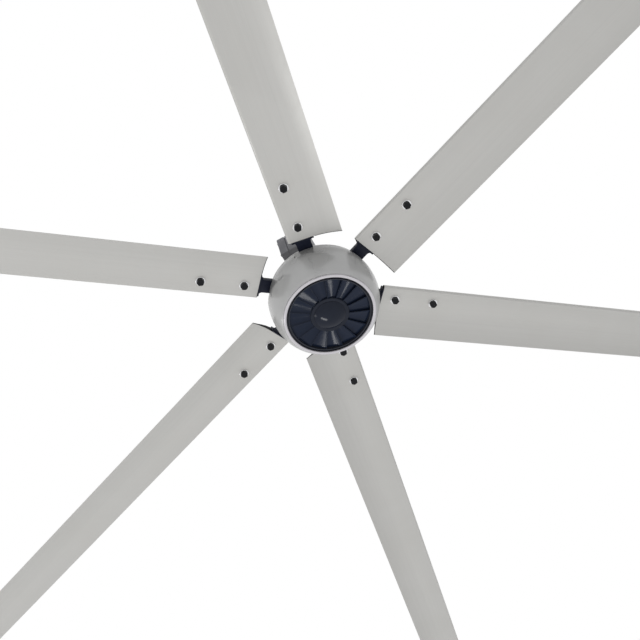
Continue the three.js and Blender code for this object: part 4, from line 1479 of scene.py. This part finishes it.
def vane_mesh():
    bm = bmesh.new()
    rings = []
    steps = 12
    for i in range(steps + 1):
        r = VANE_ROOT + (VANE_REACH - VANE_ROOT) * i / steps
        rings.append([bm.verts.new(on_circle(r, a, z)) for a, z in vane_loop(r)])
    for here, there in zip(rings, rings[1:]):
        join_rows(bm, here, there)
    bm.faces.new(rings[0])
    bm.faces.new(rings[-1])
    return close_mesh("vane", bm, crease=40.0)


vane = vane_mesh()
for i in range(VANES):
    turn = Matrix.Rotation(VANE_START + i * 2 * math.pi / VANES, 4, "Z")
    put(f"grille_vane_{i + 1}", vane, rotor_place @ turn, "rotor", grille_plastic)
print("vane faces:", len(vane.polygons))

# %% [markdown]
# Grille ring and hub
#
# The ring has a lip that hangs on the cowl's flange, and its lower edge is rounded. The hub is a
# cup that hides the axle's nut.

# %% Grille ring and hub
RING_INSIDE, RING_OUTSIDE, RING_FLANGE = 107.4, 110.4, 119.4
RING_LOW, RING_TOP = TRIM_LOW + 3.0, TRIM_LOW + 17.5
RING_FLANGE_LOW, RING_FLANGE_TOP = LIP + 3.3, LIP + 5.8
ring_corners = [
    (RING_INSIDE, RING_LOW, 1.2), (RING_OUTSIDE, RING_LOW, 1.2), (RING_OUTSIDE, RING_FLANGE_LOW, 0.3),
    (RING_FLANGE, RING_FLANGE_LOW, 0.3), (RING_FLANGE, RING_FLANGE_TOP, 0.6),
    (RING_OUTSIDE, RING_TOP, 0.6), (RING_INSIDE, RING_TOP, 0.6),
]
grille_ring = turned("grille_ring", rounded_loop(ring_corners), segments=192)
put("grille_ring", grille_ring, rotor_place, "rotor", ring_satin, ["turbine_grille"])
CUP_LOW, CUP_TOP = TRIM_LOW + 8.0, TRIM_LOW + 14.8
CUP_OUTSIDE, CUP_INSIDE, CUP_FLOOR = 52.4, 46.0, 2.5
cup_corners = [
    (0, CUP_LOW, 0), (CUP_OUTSIDE, CUP_LOW, 0.6), (CUP_OUTSIDE, CUP_TOP, 0.6),
    (CUP_INSIDE, CUP_TOP, 0.6), (CUP_INSIDE, CUP_LOW + CUP_FLOOR, 1.5), (0, CUP_LOW + CUP_FLOOR, 0),
]
cup = turned("grille_cup", rounded_loop(cup_corners, steps=4))
put("grille_cup", cup, rotor_place, "rotor", grille_plastic)

# %% [markdown]
# Nose dome
#
# In the middle sits a smooth dark dome in a duller flat rim. The rim and the dome are two pieces,
# so each has its own finish.

# %% Nose dome
DOME_TOP = CUP_LOW - 0.3
RIM_LEVEL = DOME_TOP - 2.4
STEP_LEVEL = RIM_LEVEL - 0.6
APEX = RIM_LEVEL - 13.0
DOME_RADIUS, DOME_INSIDE, DOME_WALL, DOME_EDGE = 42.0, 40.4, 1.6, 1.5
RIM_INSIDE, RIM_SEAT, RIM_OUTSIDE, RIM_WALL = 42.2, 49.4, 51.0, 1.6


def dome_loop():
    outer, inner = [], []
    steps = 20
    for i in range(steps + 1):
        share = i / steps
        level = STEP_LEVEL + (APEX - STEP_LEVEL) * (1 - share * share)
        outer.append((DOME_RADIUS * share, level))
        inner.append((DOME_INSIDE * share, level + DOME_WALL))
    return [*outer, (DOME_RADIUS, STEP_LEVEL + DOME_EDGE), *reversed(inner)]


rim_corners = [
    (RIM_INSIDE, RIM_LEVEL, 0.8), (RIM_OUTSIDE, RIM_LEVEL, 1.0), (RIM_OUTSIDE, DOME_TOP, 0.3),
    (RIM_SEAT, DOME_TOP, 0.3), (RIM_SEAT, RIM_LEVEL + RIM_WALL, 0.3),
    (RIM_INSIDE, RIM_LEVEL + RIM_WALL, 0.3),
]
dome_rim = turned("dome_rim", rounded_loop(rim_corners))
put("dome_rim", dome_rim, rotor_place, "rotor", dome_matt)
dome = turned("nose_dome", dome_loop())
put("dressed_nose_dome", dome, rotor_place, "rotor", dome_gloss, ["nose_dome"])
print("dome hangs to", round(APEX, 1), "mm")

# %% [markdown]
# Windows mirrored in the grille
#
# Polished black plastic shows little but what it mirrors. Four small lamps stand for the windows
# of the hall, and light linking lets each shine on chosen pieces alone: all on the vanes, one on
# the dome as well. The satin blades round them keep their soft, even light.

# %% Window lamps
vanes = [bpy.data.objects[f"grille_vane_{i + 1}"] for i in range(VANES)]
vanes_and_dome = [*vanes, bpy.data.objects["dressed_nose_dome"]]


def add_window(name, place, size, power, seen_in):
    lamp = add_lamp(name, place, middle, size, power)
    linked = bpy.data.collections.new(name + "_shines_on")
    for piece in seen_in:
        linked.objects.link(piece)
    lamp.light_linking.receiver_collection = linked
    return lamp


add_window("window_left", place=(-1.9, -2.0, -4.0), size=(1.5, 0.6), power=34.0, seen_in=vanes_and_dome)
add_window("window_right", place=(-1.3, 0.9, -4.6), size=(0.9, 0.7), power=21.0, seen_in=vanes)
add_window("window_near", place=(-1.2, 0.0, -4.7), size=(0.3, 0.3), power=2.2, seen_in=vanes)
add_window("window_far", place=(-2.7, 0.9, -3.7), size=(1.0, 0.4), power=13.0, seen_in=vanes)

# %% [markdown]
# Axle
#
# The axle does not turn. It is a hollow steel shaft with a round flange that is bolted under the
# controller housing, and the whole rotor hangs on its two bearings.

# %% Axle
AXLE_BORE, AXLE_TIP, AXLE_RADIUS, AXLE_FLANGE = 11.0, 17.0, 20.0, 33.0
AXLE_LOW, AXLE_STEP, AXLE_FLANGE_LOW, AXLE_TOP = -103.3, -69.7, 139.7, 151.7
FLANGE_BOLTS, FLANGE_BOLT_RADIUS, FLANGE_BOLT_TURN = 6, 27.0, 0.3
FLANGE_BOLT_SCALE = 0.42
axle_corners = [
    (AXLE_BORE, AXLE_LOW, 0.5), (AXLE_TIP, AXLE_LOW, 1), (AXLE_TIP, AXLE_STEP, 0),
    (AXLE_RADIUS, AXLE_STEP, 0.8), (AXLE_RADIUS, AXLE_FLANGE_LOW, 3), (AXLE_FLANGE, AXLE_FLANGE_LOW, 1.5),
    (AXLE_FLANGE, AXLE_TOP, 1.5), (AXLE_BORE, AXLE_TOP, 0.5),
]
axle = turned("axle", rounded_loop(axle_corners), segments=96)
put("dressed_axle", axle, hub_place, "hanger", axle_steel, ["axle"])
flange_bolt_level = AXLE_FLANGE_LOW - SMALL_HEAD_GAP - HEAD_SEAT * FLANGE_BOLT_SCALE
for i in range(FLANGE_BOLTS):
    turn = Matrix.Rotation(i * 2 * math.pi / FLANGE_BOLTS + FLANGE_BOLT_TURN, 4, "Z")
    out = Matrix.Translation((FLANGE_BOLT_RADIUS * MM, 0, flange_bolt_level * MM))
    spot = hub_place @ turn @ out @ Matrix.Scale(FLANGE_BOLT_SCALE, 4)
    put(f"flange_bolt_{i + 1}", bolt, spot, "hanger", bolt_black)

# %% [markdown]
# Controller housing
#
# The long box above the hub holds the drive's electronics. It is folded sheet steel with
# rounded upright edges, open on one side under a deep cover with four screws. The opening is not
# seen behind its cover, so the body is one eased block with the cover standing against it.

# %% Controller housing
HOUSING_LOW, HOUSING_TOP = 152.0, 240.0
HOUSING_LENGTH, HOUSING_WIDTH, COVER_DEPTH = 160.0, 68.0, 25.0
UPRIGHT_ROUNDING, HOUSING_EASE = 4.0, 1.6
SEAM = 0.3
SCREW_RADIUS, SCREW_HEIGHT = 3.6, 2.0
SCREW_INSET = 10.0


def housing_box(name, depth):
    outline = box_outline(HOUSING_LENGTH, depth, UPRIGHT_ROUNDING)
    return eased(prism(name, outline, HOUSING_LOW, HOUSING_TOP), HOUSING_EASE, segments=3)


housing = housing_box("housing", HOUSING_WIDTH)
put("dressed_controller_housing", housing, hub_place, "hanger", housing_grey,
    ["controller_housing"])
cover = housing_box("cover", COVER_DEPTH)
cover_back = -(HOUSING_WIDTH / 2 + SEAM)
cover_place = hub_place @ Matrix.Translation((0, (cover_back - COVER_DEPTH / 2) * MM, 0))
put("dressed_controller_cover", cover, cover_place, "hanger", housing_grey,
    ["controller_cover"])


def screw_mesh(radius, height):
    """A countersunk foot below the seat, a low rounded head above it, and a socket in the head."""
    foot, foot_share = -1.5, 0.6
    edge_share, crown_share = 0.45, 0.8
    mouth_share, floor_share, depth_share = 0.42, 0.38, 0.3
    corners = [
        (0, foot, 0), (radius * foot_share, foot, 0), (radius, 0.0, 0), (radius, height * edge_share, 0.4),
        (radius * crown_share, height, 0.8), (radius * mouth_share, height, 0.2),
        (radius * floor_share, height * depth_share, 0), (0, height * depth_share, 0),
    ]
    return turned("screw", rounded_loop(corners, steps=3), segments=36)


cover_screw = screw_mesh(SCREW_RADIUS, SCREW_HEIGHT)
cover_face = (cover_back - COVER_DEPTH) * MM
screw_reach = HOUSING_LENGTH / 2 - SCREW_INSET
screw_low, screw_high = HOUSING_LOW + SCREW_INSET, HOUSING_TOP - SCREW_INSET
screw_places = [(-screw_reach, screw_low), (screw_reach, screw_low),
                (screw_reach, screw_high), (-screw_reach, screw_high)]
for i, (x, z) in enumerate(screw_places):
    spot = hub_place @ Matrix.Translation((x * MM, cover_face, z * MM))
    spot = spot @ Matrix.Rotation(math.pi / 2, 4, "X")
    put(f"cover_screw_{i + 1}", cover_screw, spot, "hanger", bolt_black)

# %% [markdown]
# Drop tube and mounting plate
#
# A steel pipe joins the housing to the plate under the beam. A round collar is welded to its
# foot, and four small bolts hold that on the housing. Four larger ones hold the plate to the
# beam. A concave corner of a lathe profile rounds into a fillet, which is the weld here.

# %% Drop tube and plate
TUBE_LOW, TUBE_TOP = HOUSING_TOP + SEAM, 789.7
TUBE_BORE, TUBE_RADIUS = 20.2, 24.2
COLLAR_RADIUS, COLLAR_TOP = 33.0, TUBE_LOW + 6.0
COLLAR_BOLTS, COLLAR_BOLT_RADIUS, COLLAR_BOLT_SCALE = 4, 28.8, 0.36
tube_corners = [
    (TUBE_BORE, TUBE_LOW, 0.4), (COLLAR_RADIUS, TUBE_LOW, 0.8), (COLLAR_RADIUS, COLLAR_TOP, 0.8),
    (TUBE_RADIUS, COLLAR_TOP, 2.0), (TUBE_RADIUS, TUBE_TOP, 0.4), (TUBE_BORE, TUBE_TOP, 0.4),
]
tube = turned("drop_tube", rounded_loop(tube_corners), segments=96)
put("dressed_drop_tube", tube, hub_place, "hanger", hanger_grey, ["drop_tube"])
collar_bolt_level = COLLAR_TOP + SMALL_HEAD_GAP + HEAD_SEAT * COLLAR_BOLT_SCALE
for i in range(COLLAR_BOLTS):
    turn = Matrix.Rotation((i + 0.5) * 2 * math.pi / COLLAR_BOLTS, 4, "Z")
    out = Matrix.Translation((COLLAR_BOLT_RADIUS * MM, 0, collar_bolt_level * MM))
    spot = hub_place @ turn @ out @ Matrix.Rotation(math.pi, 4, "X") @ Matrix.Scale(COLLAR_BOLT_SCALE, 4)
    put(f"collar_bolt_{i + 1}", bolt, spot, "hanger", bolt_black)

PLATE_LENGTH, PLATE_WIDTH, PLATE_THICKNESS = 160.0, 76.0, 10.0
PLATE_ROUNDING, PLATE_EDGE_EASE = 6.0, 0.5
PLATE_HOLE_INSET, PLATE_HOLE_RADIUS = 17.0, 6.5
OVERRUN = 2.0
PLATE_BOLT_SQUASH, PLATE_BOLT_DROP = 0.6, 1.6
PLATE_BOLT_TURN = 0.4
hole_x = PLATE_LENGTH / 2 - PLATE_HOLE_INSET
hole_y = PLATE_WIDTH / 2 - PLATE_HOLE_INSET
plate_holes = [(-hole_x, -hole_y), (hole_x, -hole_y), (hole_x, hole_y), (-hole_x, hole_y)]


def plate_mesh():
    outline = box_outline(PLATE_LENGTH, PLATE_WIDTH, PLATE_ROUNDING)
    plate = prism("plate", outline, -PLATE_THICKNESS, 0.0)
    for x, y in plate_holes:
        hole = drill(PLATE_HOLE_RADIUS, -PLATE_THICKNESS - OVERRUN, OVERRUN, x, y)
        plate = combined("plate", plate, hole, "DIFFERENCE")
    return eased(plate, PLATE_EDGE_EASE)


put("dressed_mounting_plate", plate_mesh(), Matrix.Identity(4), "hanger", hanger_grey,
    ["mounting_plate"])
for i, (x, y) in enumerate(plate_holes):
    under_plate = Matrix.Translation((x * MM, y * MM, -PLATE_THICKNESS * MM))
    spot = under_plate @ Matrix.Rotation(PLATE_BOLT_TURN * i, 4, "Z")
    put(f"plate_washer_{i + 1}", washer, spot, "hanger", washer_zinc)
    squash = Matrix.Scale(PLATE_BOLT_SQUASH, 4, (0, 0, 1))
    seat = spot @ squash @ Matrix.Translation((0, 0, -PLATE_BOLT_DROP * MM))
    put(f"plate_bolt_{i + 1}", bolt, seat, "hanger", bolt_black)
print("hanging pieces placed")

# %% [markdown]
# Inside the hub
#
# The motor is not seen, but its pieces stay in the model as the frame gives them. They only get
# their finishes.

# %% Inner finishes
inner_finishes = {
    "stator_core": stator_iron,
    "upper_winding": winding_copper,
    "lower_winding": winding_copper,
    "magnet_ring": magnet_plate,
    "upper_bearing": bearing_steel,
    "lower_bearing": bearing_steel,
    "axle_nut": axle_steel,
}
for name, material in inner_finishes.items():
    mesh = nodes[name].data
    mesh.materials.clear()
    mesh.materials.append(material)
print("inner pieces:", len(inner_finishes))
